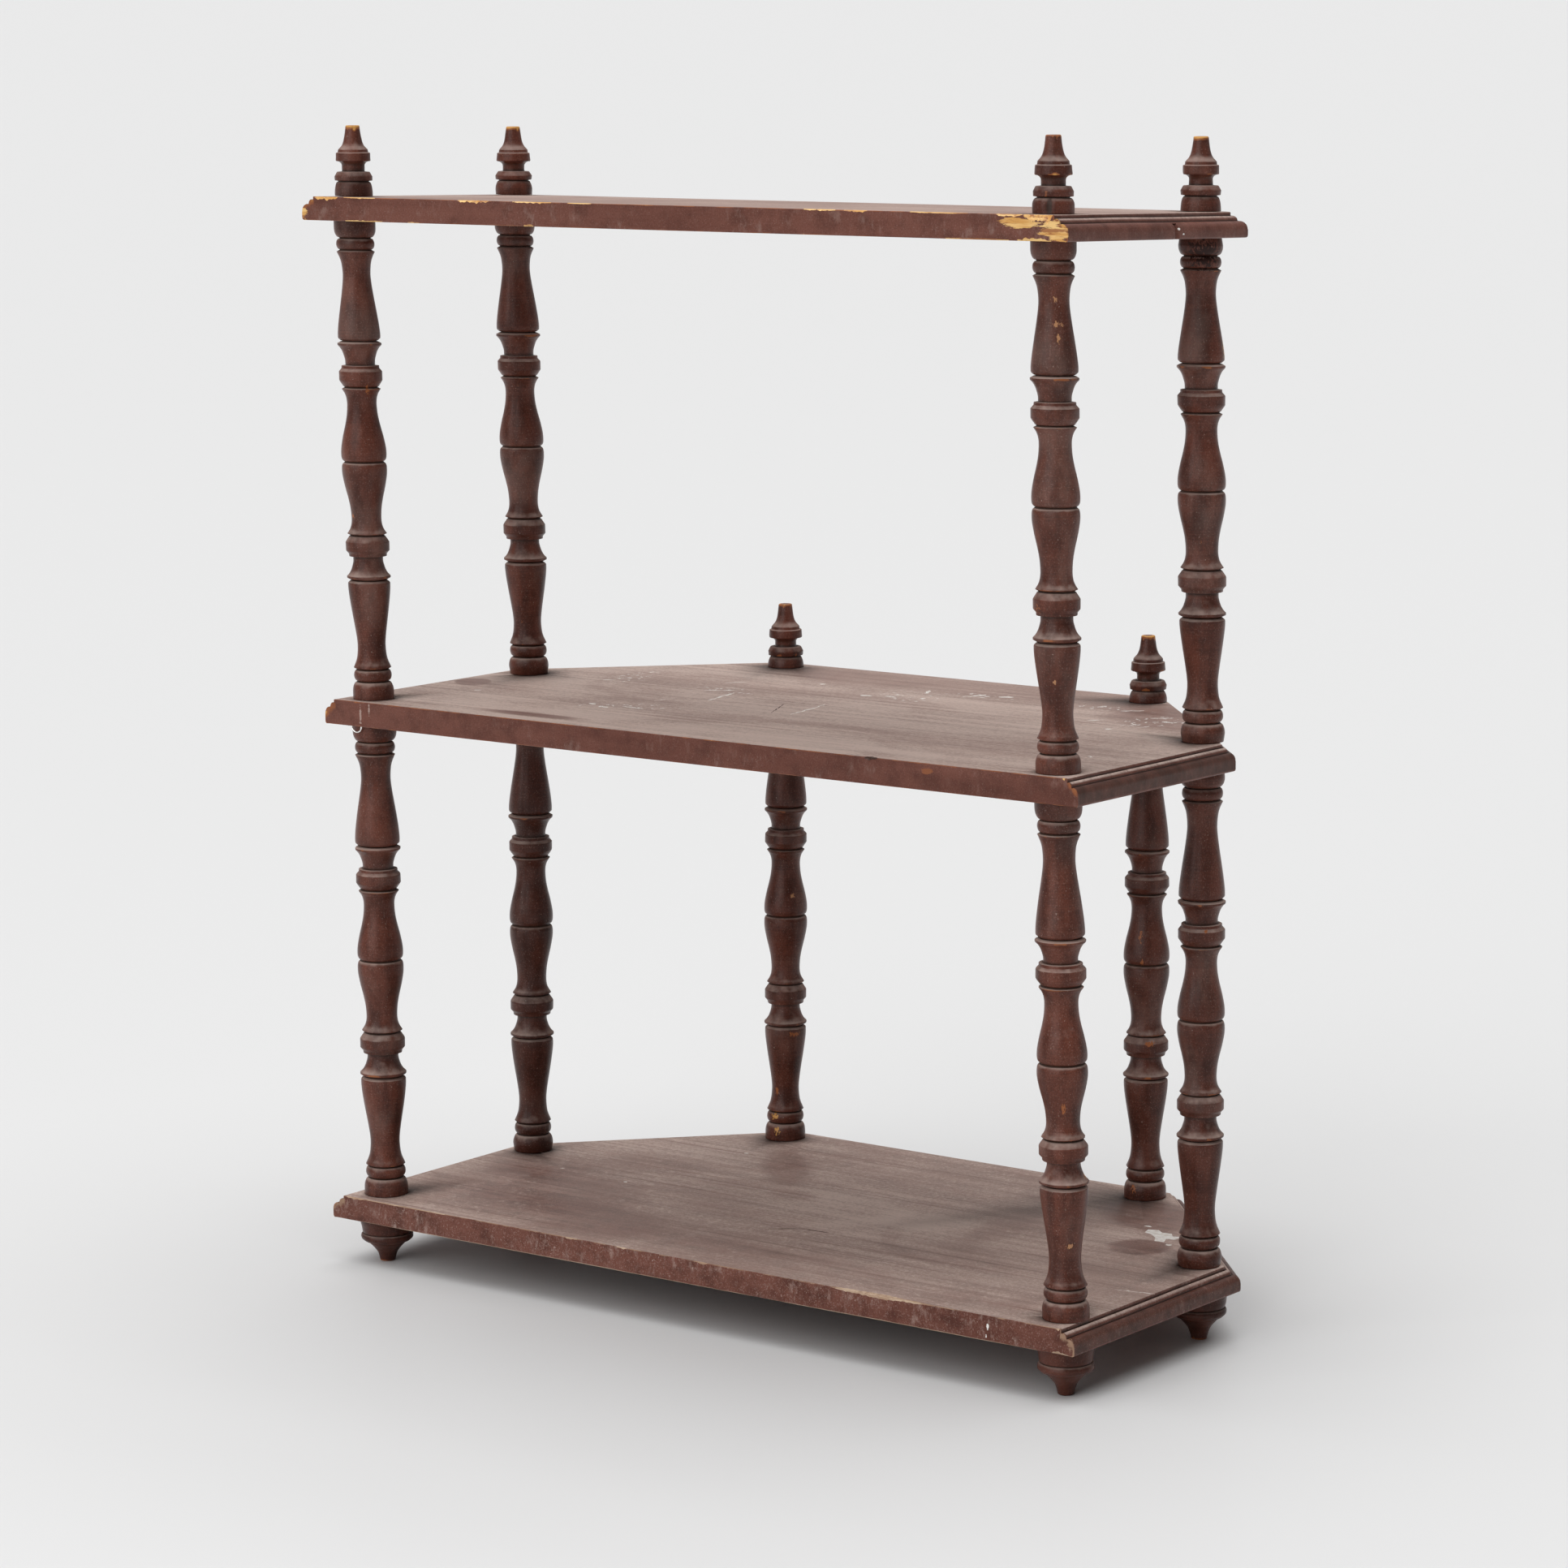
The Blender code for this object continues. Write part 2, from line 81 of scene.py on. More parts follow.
# How far a turner strays: millimetres along the piece, share of the radius, and the length for all of it
TURNING_SLIP = 0.5
TURNING_SWELL = 0.011
LONG_TURNING = 120

# Colours, linear
DEEP_PAINT = (0.050, 0.0130, 0.0076)
LIGHT_PAINT = (0.136, 0.0415, 0.0260)
FACE_PAINT = (0.116, 0.038, 0.0255)
FACE_LIGHT = (0.170, 0.063, 0.0445)
DUST = (0.530, 0.409, 0.356)
DULL_DUST = (0.488, 0.376, 0.327)
PALE_DUST = (0.572, 0.442, 0.385)
# Dark dirt, also used as painted shade in hollows, grooves and gouges
DIRT_AND_SHADE = (0.034, 0.0165, 0.0105)
SHADED_PAINT = (0.026, 0.0080, 0.0055)
UNDERCOAT = (0.300, 0.100, 0.036)
PINE = (0.620, 0.320, 0.090)
PALE_PINE = (0.820, 0.540, 0.220)
GREY_PINE = (0.340, 0.215, 0.140)
PALE_GREY_PINE = (0.540, 0.400, 0.290)
WHITE_PAINT = (0.830, 0.800, 0.760)
DIRTY_WHITE = (0.64, 0.57, 0.51)
TAN = (0.420, 0.210, 0.105)
BRIGHT_STEEL = (0.92, 0.91, 0.89)
DULL_STEEL = (0.62, 0.58, 0.54)

STATIONS = ("back_left", "back_right", "side_left", "side_right", "front_left", "front_right")
WIDE_STATIONS = STATIONS[:4]
FRONT_STATIONS = STATIONS[4:]


# Frame

def axis_of(node):
    """X and Y of a turned node's axis."""
    low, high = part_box(node)
    return (low.x + high.x) / 2, (low.y + high.y) / 2


COLUMN_AXES = {station: axis_of("lower_column_" + station) for station in STATIONS}
BOARD_BOXES = {name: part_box(name) for name in ("bottom_shelf", "middle_shelf", "top_shelf")}

# The old shelf stands a little out of true. Millimetres that each column line is off its place at each board,
# along the SWAY direction
SWAY = Vector((-0.793, -0.609))
OFF_LINE = {
    "bottom_shelf": {"back_right": 2.4, "side_right": 0.6, "front_right": -1.8,
                     "back_left": 4.4, "side_left": 1.2, "front_left": -2.0},
    "middle_shelf": {"back_right": 1.2, "side_right": 3.0, "front_right": 1.0,
                     "back_left": 0.0, "side_left": 1.6, "front_left": -1.2},
    "top_shelf": {"back_right": -4.2, "side_right": -1.4, "back_left": -2.8, "side_left": -1.1},
}
# How high each board lies at its middle, in millimetres, and its slope along X and Y
OUT_OF_LEVEL = {
    "bottom_shelf": (-1.1, -0.0028, 0.0),
    "middle_shelf": (0.4, 0.0, 0.006),
    "top_shelf": (-2.5, 0.0, 0.0305),
}
# What each board was planed down by below, in millimetres
PLANED_OFF = {"bottom_shelf": 0.0, "middle_shelf": 1.4, "top_shelf": 0.0}
# How stout each column is, and how close its turnings stand
GIRTH = {
    "lower_back": 1.08, "lower_side": 1.05, "lower_front": 1.045, "upper_back": 1.015, "upper_side": 1.03,
}
USUAL_TURNINGS = 0.995
CLOSE_TURNINGS = {
    "lower_column_back_left": 0.962, "lower_column_side_left": 0.968, "lower_column_front_left": 0.968,
    "lower_column_front_right": 0.984,
}


def station_at(station, board):
    """Where a column line meets a board, flat."""
    return Vector(COLUMN_AXES[station]) + SWAY * OFF_LINE[board][station] * MM


def lift(board, x, y):
    """How far a board lies off its level at a place."""
    middle, along_x, along_y = OUT_OF_LEVEL[board]
    return middle * MM + along_x * x + along_y * y


def on_top(board, spot):
    return BOARD_BOXES[board][1].z + lift(board, *spot)


def underneath(board, spot):
    return BOARD_BOXES[board][0].z + PLANED_OFF[board] * MM + lift(board, *spot)


# Outlines of turned pieces

def smooth_curve(knots, spacing=0.8):
    """Points along a smooth curve through (height, radius) knots, both ends included."""
    first, last = knots[0], knots[-1]
    padded = [first] + list(knots) + [last]
    points = []
    for a, b, c, d in zip(padded, padded[1:], padded[2:], padded[3:]):
        count = max(2, math.ceil(math.dist(b, c) / spacing))
        for i in range(count):
            t = i / count
            points.append(tuple(
                0.5 * (2 * q + (r - p) * t + (2 * p - 5 * q + 4 * r - s) * t ** 2
                       + (3 * q - p - 3 * r + s) * t ** 3)
                for p, q, r, s in zip(a, b, c, d)
            ))
    return points + [last]


def quarter(start, end, square_first, count=8):
    """Quarter of an ellipse between two points, leaving the first one square to the axis or along it."""
    points = []
    for i in range(count + 1):
        turn = math.pi / 2 * i / count
        quick, slow = math.sin(turn), 1 - math.cos(turn)
        along, outward = (slow, quick) if square_first else (quick, slow)
        points.append((start[0] + (end[0] - start[0]) * along, start[1] + (end[1] - start[1]) * outward))
    return points


def bead(low, high, foot_radius, radius, count=12):
    """Half-round ring between two heights."""
    points = []
    for i in range(count + 1):
        turn = math.pi * i / count
        height = (low + high) / 2 - (high - low) / 2 * math.cos(turn)
        points.append((height, foot_radius + (radius - foot_radius) * math.sin(turn)))
    return points


def half_column():
    """Column from the groove at half height to its end, as distance from the middle and radius."""
    points = [(0.0, 11.1)]
    points += smooth_curve([
        (1.1, 12.4), (3.0, 13.0), (8.0, 12.9), (15.0, 11.7), (22.0, 10.1), (28.0, 9.05), (34.0, 8.65),
        (38.0, 8.95), (41.0, 9.9), (43.6, 11.5),
    ])
    points += [(44.6, 9.6), (45.3, 10.6), (48.4, 12.6), (48.9, 12.8), (53.9, 12.8)]
    points += [(54.2, 12.6), (55.5, 11.5), (55.8, 11.2), (57.4, 11.1), (57.7, 8.7)]
    points += smooth_curve([(58.0, 8.8), (60.5, 8.85), (63.0, 9.4), (66.0, 10.4), (68.2, 11.7), (69.2, 12.7)])
    points += [(69.6, 13.0), (70.6, 13.0), (71.6, 11.2), (72.0, 9.8), (72.4, 11.2), (73.5, 12.4)]
    points += smooth_curve([
        (74.1, 12.55), (77.0, 12.5), (82.0, 12.0), (90.0, 10.9), (100.0, 9.4), (107.0, 8.5), (112.0, 8.25),
        (117.5, 8.7), (121.0, 9.6), (124.5, 11.15),
    ])
    points += [(125.6, 9.3)]
    points += bead(125.8, 132.4, 9.2, 11.15)
    points += [(132.7, 8.9)]
    points += quarter((133.0, 9.4), (138.6, 12.1), square_first=True)
    return points


LAST_DISC = 74.0
FIRST_BEAD = 124.0
HALF_PATTERN = 143.0


def column_outline(length, closeness, end_radius):
    """Visible side of a column from its lower end up.

    The turnings round its middle stand closer by a share. Those at its ends keep to the boards.
    """
    middle = length / 2
    marks = [0.0, LAST_DISC, FIRST_BEAD, HALF_PATTERN]
    places = [0.0, LAST_DISC * closeness, middle - (HALF_PATTERN - FIRST_BEAD), middle]
    half = [(float(np.interp(along, marks, places)), radius) for along, radius in half_column()]
    side = [(0.0, end_radius)]
    side += [(middle - along, radius) for along, radius in reversed(half)]
    side += [(middle + along, radius) for along, radius in half[1:]]
    return side + [(length, end_radius)]


FINIAL_ABOVE_CAP = 32.8


def finial_outline(height, shoulder):
    """Visible side of a finial from its base up, the cap rounded over the height of its shoulder."""
    cap = height - FINIAL_ABOVE_CAP
    side = [(0.0, 11.3)]
    side += quarter((cap - shoulder, 11.3), (cap, 9.0), square_first=False)
    above = [(0.4, 9.0), (0.7, 11.0), (3.2, 11.1), (3.5, 10.9), (5.7, 9.7), (5.9, 9.4), (6.1, 6.7)]
    above += quarter((9.2, 6.65), (11.8, 9.9), square_first=False)
    above += [(12.0, 10.2), (12.3, 10.35), (16.5, 10.05), (16.9, 9.85), (17.1, 8.95)]
    above += [(18.8, 8.7), (19.2, 8.3)]
    above += smooth_curve([(19.4, 8.2), (21.0, 6.75), (23.0, 5.8), (26.5, 4.95), (31.7, 4.3)])
    above += quarter((31.9, 4.3), (FINIAL_ABOVE_CAP, 3.5), square_first=False, count=4)
    return side + [(cap + rise, radius) for rise, radius in above]


FOOT_TIP = 29.0


def foot_outline(height):
    """Visible side of a drop foot from its tip up to the board."""
    drop = [(0.0, 16.4)]
    drop += smooth_curve([(1.2, 16.4), (5.0, 15.7), (9.3, 15.0)])
    drop += [(9.8, 14.3)]
    drop += bead(10.1, 14.4, 14.6, 15.9)
    drop += [(14.9, 14.4), (15.4, 13.9), (16.0, 11.6)]
    drop += smooth_curve([(16.6, 11.4), (17.6, 10.4), (20.5, 7.7), (23.5, 5.95), (27.4, 4.9)])
    drop += quarter((28.2, 4.8), (FOOT_TIP, 3.6), square_first=False, count=4)
    return [(height * (1 - fall / FOOT_TIP), radius) for fall, radius in reversed(drop)]


def spaced(points, step):
    """The same line with a point at every step along it."""
    line = np.array(points)
    along = np.concatenate([[0.0], np.cumsum(np.hypot(*np.diff(line, axis=0).T))])
    places = np.linspace(0.0, along[-1], max(2, round(along[-1] / step)))
    return np.column_stack([np.interp(places, along, line[:, 0]), np.interp(places, along, line[:, 1])])


def blurred(line, reach):
    """The line with its corners rounded over a reach in millimetres, its ends kept."""
    width = reach / OUTLINE_STEP
    span = math.ceil(3 * width)
    weights = np.exp(-0.5 * (np.arange(-span, span + 1) / width) ** 2)
    weights /= weights.sum()
    columns = []
    for values in line.T:
        before = 2 * values[0] - values[span:0:-1]
        after = 2 * values[-1] - values[-2:-span - 2:-1]
        columns.append(np.convolve(np.concatenate([before, values, after]), weights, mode="valid"))
    return np.column_stack(columns)


def kept_rings(line):
    """Indices of the points that hold the line within its tolerance, with no gap longer than the longest."""
    keep = {0, len(line) - 1}
    spans = [(0, len(line) - 1)]
    while spans:
        a, b = spans.pop()
        if b - a < 2:
            continue
        chord = line[b] - line[a]
        length = np.hypot(*chord)
        inner = line[a + 1:b] - line[a]
        away = np.abs(inner[:, 0] * chord[1] - inner[:, 1] * chord[0]) / max(length, TINY_LENGTH)
        worst = int(np.argmax(away))
        close = away[worst] < OUTLINE_TOLERANCE
        if close and length < LONGEST_RING:
            continue
        middle = a + 1 + ((b - a) // 2 - 1 if close else worst)
        keep.add(middle)
        spans += [(a, middle), (middle, b)]
    return sorted(keep)


def hand_turned(line, dice):
    """The line as turned by hand: features a little off their marks, necks a little fatter or thinner."""
    length = line[-1, 0]
    shift = np.zeros(len(line))
    swell = np.zeros(len(line))
    for wave in (1, 2, 3, 5):
        ripple = np.sin(math.pi * wave * line[:, 0] / length)
        shift += dice.uniform(-TURNING_SLIP, TURNING_SLIP) * ripple * min(1.0, length / LONG_TURNING)
        phase = dice.uniform(0, 2 * math.pi)
        ripple = np.sin(2 * math.pi * wave * line[:, 0] / length + phase)
        swell += dice.uniform(-TURNING_SWELL, TURNING_SWELL) * ripple
    return np.column_stack([line[:, 0] + shift, line[:, 1] * (1 + swell)])


# Meshes of turned pieces

SHARP_ANGLE = 42
ANY_TURN = 6.28
FULL_RELIEF = 0.8
RUBBED_TIP = 5.0
# Knocks on worn edges: features round the piece and in a millimetre along it, noise that leaves none, depth
KNOCKS_ROUND, KNOCKS_ALONG, KNOCK_START, KNOCK_DEPTH = 2.6, 0.12, 0.22, 1.2
KNOCK_WEAR, MOST_KNOCK_WEAR = 1.5, 1.05
# Height, half height, direction in degrees, half width and depth of a dent
DENTS = {"top_finial_back_left": (4.0, 6.0, 112.0, 2.6, 1.1)}
CAP_SHOULDER, DENTED_SHOULDER = 6.4, 3.6
FINIAL_HEIGHT = {"top_finial_side_left": 41.0, "top_finial_side_right": 41.4}
END_RADIUS = {"back": 12.1, "side": 11.4, "front": 12.1}
# Painted shade: how far the whole of each column deep under the boards, and each foot under the bottom board,
# is darkened towards SHADED_PAINT
COLUMN_PAINTED_SHADE = {
    "lower_column_side_right": 0.45, "lower_column_front_left": 0.25, "lower_column_side_left": 0.22,
}
FOOT_PAINTED_SHADE = 0.3
# Each tier of columns or kind of finial, the boards that it stands between, and its first seed
TIERS = (
    ("lower", "bottom_shelf", "middle_shelf", STATIONS, 100),
    ("upper", "middle_shelf", "top_shelf", WIDE_STATIONS, 150),
)
FINIALS = (("top_finial", "top_shelf", WIDE_STATIONS, 200), ("finial", "middle_shelf", FRONT_STATIONS, 220))
FIRST_FOOT = 300


def linked(name, data):
    """New object in the scene."""
    made = bpy.data.objects.new(name, data)
    bpy.context.scene.collection.objects.link(made)
    return made


def new_mesh_object(name, points, faces, attributes):
    """Smooth mesh object with one number for each point under each attribute's name."""
    mesh = bpy.data.meshes.new(name)
    mesh.from_pydata(points, [], faces)
    for label, values in attributes.items():
        layer = mesh.attributes.new(label, "FLOAT", "POINT")
        layer.data.foreach_set("value", np.array(values, dtype=np.float32))
    mesh.shade_smooth()
    mesh.set_sharp_from_angle(angle=math.radians(SHARP_ANGLE))
    return linked(name, mesh)


def turned_rings(side, girth, tip, dice):
    """Rings of a visible side: height, radius, share of the length, wear, dirt with painted shade, and dust
    of each.
    """
    line = blurred(spaced(side, OUTLINE_STEP), OUTLINE_ROUNDING)
    relief = (line[:, 1] - blurred(line, OUTLINE_RELIEF)[:, 1]) / FULL_RELIEF
    slope = -np.gradient(line[:, 1]) / np.maximum(np.hypot(*np.gradient(line, axis=0).T), TINY_LENGTH)
    line = hand_turned(line, dice)
    rubbed = dice.uniform(1.0, 1.4)
    length = side[-1][0]
    rings = []
    for i in kept_rings(line):
        height, radius = line[i]
        wear = min(max(relief[i], 0.0), 1.0)
        if tip is not None:
            wear = max(wear, rubbed * (1 - abs(height - tip) / RUBBED_TIP))
        # Hollows are darkened: dirt with painted shade
        dirt_and_shade = min(max(-relief[i], 0.0), 1.0)
        rings.append((height, radius * girth, height / length, wear, dirt_and_shade, max(slope[i], 0.0)))
    return rings


def ring_faces(rows):
    """Faces over rows of points round an axis and over both ends, whose middles are the last two points."""
    sides = [(i, (i + 1) % TURNED_SIDES) for i in range(TURNED_SIDES)]
    faces = []
    for row in range(rows - 1):
        here, above = row * TURNED_SIDES, (row + 1) * TURNED_SIDES
        faces += [(here + i, here + j, above + j, above + i) for i, j in sides]
    last, bottom = (rows - 1) * TURNED_SIDES, rows * TURNED_SIDES
    for i, j in sides:
        faces += [(bottom, j, i), (bottom + 1, last + i, last + j)]
    return faces


def dent_share(dent, height, radius, turn):
    """1 in the middle of a dent, 0 outside it."""
    middle, tall, direction, wide, _ = dent
    sideways = math.remainder(turn - math.radians(direction), 2 * math.pi) * radius
    return max(0.0, 1 - (sideways / wide) ** 2) * max(0.0, 1 - ((height - middle) / tall) ** 2)


def turned_piece(
    name, side, low_end, high_end, foot, head, seed, girth=1.0, low_board=None, high_board=None, tip=None,
    dent=None, painted_shade=0.0,
):
    """Turned piece from its visible side, on an axis from foot to head, with outlines for its hidden ends.

    Its ends follow the boards that they stand against. A tip is the height of a free end, rubbed by hands.
    """
    dice = random.Random(seed)
    length = side[-1][0]
    rings = [(height, radius, 0.0, 0.0, 0.0, 0.0) for height, radius in low_end[1:]]
    rings += turned_rings(side, girth, tip, dice)
    rings += [(height, radius, 1.0, 0.0, 0.0, 0.0) for height, radius in high_end[:-1]]
    oval, oval_turn = dice.uniform(0.002, 0.007), dice.uniform(0, ANY_TURN)
    start = dice.uniform(0, ANY_TURN)
    seat = Vector((dice.uniform(-50, 50), dice.uniform(-50, 50), 0.0))

    def set_down(spot, share):
        """The point, moved by how much the boards slope between the axis and it."""
        drop = 0.0
        for board, centre, weight in ((low_board, foot, 1 - share), (high_board, head, share)):
            if board:
                drop += weight * (lift(board, spot.x, spot.y) - lift(board, centre.x, centre.y))
        return spot + Vector((0.0, 0.0, drop))

    points, marks = [], {"wear": [], "dirt_and_shade": [], "dust": []}
    for height, radius, share, wear, dirt_and_shade, dust in rings:
        centre = foot.lerp(head, share)
        centre.z = foot.z + height * MM if share < 1.0 else head.z + (height - length) * MM
        for i in range(TURNED_SIDES):
            turn = start + 2 * math.pi * i / TURNED_SIDES
            out = Vector((math.cos(turn), math.sin(turn), 0.0))
            place = seat + out * KNOCKS_ROUND + Vector((0.0, 0.0, height * KNOCKS_ALONG))
            knock = max(0.0, noise.noise(place) - KNOCK_START) * KNOCK_DEPTH * min(wear, 1.0)
            hollow = dent_share(dent, height, radius, turn) if dent else 0.0
            sunk = hollow * dent[-1] if dent else 0.0
            grown = radius * (1 + oval * math.cos(2 * turn + oval_turn)) - knock - sunk
            points.append(set_down(centre + out * grown * MM, share))
            marks["wear"].append(max(wear, min(MOST_KNOCK_WEAR, wear + knock * KNOCK_WEAR)))
            marks["dirt_and_shade"].append(max(dirt_and_shade, hollow))
            marks["dust"].append(dust)
    for end, rise in ((foot, low_end[0][0]), (head, high_end[-1][0] - length)):
        points.append(end + Vector((0.0, 0.0, rise * MM)))
        for values in marks.values():
            values.append(0.0)
    marks["painted_shade"] = [painted_shade] * len(points)
    return new_mesh_object(name, points, ring_faces(len(rings)), marks)


def socket(end, inward):
    """Socket in an end of a column, from the axis out to its rim."""
    floor = end + inward * SOCKET_DEPTH
    return [(floor, 0.0), (floor, SOCKET_RADIUS), (end, SOCKET_RADIUS)]


def tenon(shoulder, board, outward):
    """Tenon through a board and into the socket beyond it, from its shoulder to the axis at its tip."""
    low, high = BOARD_BOXES[board]
    length = (high.z - low.z + 2 * SEAT_GAP) / MM - PLANED_OFF[board] + TENON_REACH
    tip = shoulder + outward * length
    return [(shoulder, TENON_RADIUS), (tip, TENON_RADIUS), (tip, 0.0)]


def finished(piece, node, material):
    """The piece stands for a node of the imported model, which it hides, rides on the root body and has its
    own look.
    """
    piece.data.materials.append(material)
    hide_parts(node)
    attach(piece, "root")


def add_columns(material):
    for tier, board, ceiling, stations, first in TIERS:
        for seed, station in enumerate(stations, first):
            node = f"{tier}_column_{station}"
            row = station.split("_")[0]
            below, above = station_at(station, board), station_at(station, ceiling)
            foot = Vector((*below, on_top(board, below) + SEAT_GAP))
            head = Vector((*above, underneath(ceiling, above) - SEAT_GAP))
            length = (head.z - foot.z) / MM
            low_end = socket(0.0, 1) if tier == "lower" else tenon(0.0, board, -1)[::-1]
            high_end = socket(length, -1)[::-1]
            side = column_outline(length, CLOSE_TURNINGS.get(node, USUAL_TURNINGS), END_RADIUS[row])
            piece = turned_piece(
                node + "_look", side, low_end, high_end, foot, head, seed, GIRTH[f"{tier}_{row}"],
                board, ceiling, painted_shade=COLUMN_PAINTED_SHADE.get(node, 0.0))
            finished(piece, node, material)


def add_finials(material):
    for kind, board, stations, first in FINIALS:
        for seed, station in enumerate(stations, first):
            node = f"{kind}_{station}"
            spot = station_at(station, board)
            foot = Vector((*spot, on_top(board, spot) + SEAT_GAP))
            made_height = (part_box(node)[1].z - BOARD_BOXES[board][1].z - SEAT_GAP) / MM
            height = min(FINIAL_HEIGHT.get(node, made_height), (CAD_BOX[1].z - foot.z) / MM)
            head = foot + Vector((0.0, 0.0, height * MM))
            side = finial_outline(height, DENTED_SHOULDER if node in DENTS else CAP_SHOULDER)
            piece = turned_piece(
                node + "_look", side, tenon(0.0, board, -1)[::-1], [(height, 0.0)], foot, head, seed,
                low_board=board, tip=height, dent=DENTS.get(node))
            finished(piece, node, material)


def add_feet(material):
    board = "bottom_shelf"
    for seed, station in enumerate(STATIONS, FIRST_FOOT):
        node = "foot_" + station
        spot = station_at(station, board)
        foot = Vector((*spot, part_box(node)[0].z))
        head = Vector((*spot, underneath(board, spot) - SEAT_GAP))
        height = (head.z - foot.z) / MM
        piece = turned_piece(
            node + "_look", foot_outline(height), [(0.0, 0.0)], tenon(height, board, 1), foot, head, seed,
            high_board=board, tip=0.0, painted_shade=FOOT_PAINTED_SHADE)
        finished(piece, node, material)


# Boards

EDGE_SPACING = 1.5 * MM
WALL_SPACING = 1.2 * MM
BORE_SIDES = 32
LONG_CHIP = 14.0
GOUGE_DEPTH = 1.5
# Points that round to the same number of these to a metre are welded
WELD = 1e6
# What the filling of flat loops keeps, and how near points touch
INSIDE_ONLY, TOUCHING = 1, 1e-7
BORE_INSIDE = 0.96
# Shares of the way over an arris, the wear on and beside it, and the dust beside an upper one
ARRIS_SHARES = (0.0, 0.06, 0.35, 0.65, 0.94, 1.0)
ARRIS_WEAR, RIM_WEAR, RIM_DUST = 0.75, 0.15, 0.6
ARRIS_BULGE, BROKEN_BULGE = 0.28, 0.25
LOWER_SEED = 40
# Waves of an arris in a metre, and how far it is rounded off, in millimetres
RAGGED_WAVES, SLOW_WAVES, BROKEN_WAVES = 420, 60, 900
ROUNDED_OFF, ROUNDED_WAVE = 0.45, 0.2
NOSE_STEPS = 9
NOSE_FACE = 0.42
NOSE_START = 5.5
TOP_DUST = 0.7
CORNER_WEAR = 0.85
AT_WALL = 1e-6
# Waves of a planed moulding in a metre, in millimetres on its small steps, and their share outside these
BAND_WAVES = 16
BAND_WAVE = {"bottom_shelf": 0.4, "middle_shelf": 0.45, "top_shelf": 0.8}
FIRST_STEP, LAST_STEP, CALM_SHARE = 1.0, 9.0, 0.35
# How far apart the noise is read for X, Y and Z
WAVES_APART = (57.0, 83.0, 31.0)
# How dark each board's moulded nose is made: dirt with painted shade, less on the top board
NOSE_DIRT_AND_SHADE = {"bottom_shelf": 0.48, "middle_shelf": 0.54, "top_shelf": 0.20}
MARKS = ("wear", "dirt_and_shade", "dust", "bare")


class Surface:
    """Points and faces that weld where they meet, with the marks of each point."""

    def __init__(self):
        self.points, self.faces, self.slots = [], [], []
        self.marks = {label: [] for label in MARKS}
        self.known = {}

    def point(self, spot, **marks):
        key = tuple(round(value * WELD) for value in spot)
        if key not in self.known:
            self.known[key] = len(self.points)
            self.points.append(Vector(spot))
            for label in MARKS:
                self.marks[label].append(marks.get(label, 0.0))
        return self.known[key]

    def face(self, corners, slot=0):
        kept = [corner for i, corner in enumerate(corners) if corner != corners[i - 1]]
        if len(set(kept)) > 2:
            self.faces.append(tuple(kept))
            self.slots.append(slot)

    def strip(self, first, second):
        """Faces between two rows of points."""
        for a, b, c, d in zip(first, first[1:], second[1:], second):
            self.face((a, b, c, d))


def moulding_levels(thickness, breadth, nose_dirt_and_shade):
    """Inset, drop, wear, dirt with painted shade, and dust down the moulded edge, in millimetres, from the
    upper face.
    """
    # The dirt with painted shade sits in the grooves at the foot of each step and on the nose
    levels = [
        (8.0, 0.0, 0.0, 0.0, TOP_DUST), (7.8, 0.12, 0.35, 0.0, 0.6), (7.65, 0.5, 0.3, 0.0, 0.2),
        (7.6, 1.4, 0.0, 0.5, 0.0), (7.4, 2.35, 0.0, 1.0, 0.0), (7.0, 2.4, 0.0, 1.0, 0.0),
        (6.65, 2.0, 0.0, 0.4, 0.5), (6.1, 1.95, 0.1, 0.0, 0.8), (5.4, 2.5, 0.3, 0.0, 0.6),
        (4.9, 3.2, 0.4, 0.0, 0.3), (4.7, 4.1, 0.0, 0.5, 0.0), (4.5, 5.0, 0.0, 1.0, 0.0),
        (4.1, 5.05, 0.0, 1.0, 0.0),
    ]
    for i in range(NOSE_STEPS + 1):
        turn = math.pi / 2 * i / NOSE_STEPS
        inset = 3.8 - 3.35 * math.sin(turn)
        drop = 4.7 + 4.2 * (1 - math.cos(turn))
        levels.append((inset, drop, 0.2 + 0.1 * math.sin(turn), nose_dirt_and_shade, 0.2 * math.cos(turn)))
    levels += [
        (NOSE_FACE, 9.5, 0.1, nose_dirt_and_shade, 0.0), (NOSE_FACE, thickness - 1.5, 0.2, nose_dirt_and_shade, 0.0),
        (0.6, thickness - 0.6, 0.55, 0.0, 0.0), (1.1, thickness - 0.12, 0.5, 0.0, 0.0),
        (1.7, thickness, 0.1, 0.0, 0.0),
    ]
    return [((inset - NOSE_FACE) * breadth + NOSE_FACE, *rest) for inset, *rest in levels]


def board_edges(deep, box, cant_shifts):
    """Outward normal and reach of each moulded edge, anticlockwise from the left side."""
    low, high = box
    overhang = high.x - COLUMN_AXES["side_right"][0]
    if deep:
        side, front = Vector(COLUMN_AXES["side_left"]), Vector(COLUMN_AXES["front_left"])
        along = (front - side).normalized()
        cant = Vector((along.y, -along.x))
        cant_reach = cant.dot(front) + overhang
    else:
        cant = Vector((-1.0, -1.0)).normalized()
        cant_reach = cant.dot(Vector(COLUMN_AXES["side_left"])) + overhang
    mirrored = Vector((-cant.x, cant.y))
    left_shift, right_shift = cant_shifts
    return [
        (Vector((-1.0, 0.0)), -low.x), (cant, cant_reach + left_shift * MM),
        (Vector((0.0, -1.0)), -low.y),
        (mirrored, cant_reach + right_shift * MM), (Vector((1.0, 0.0)), high.x),
    ]


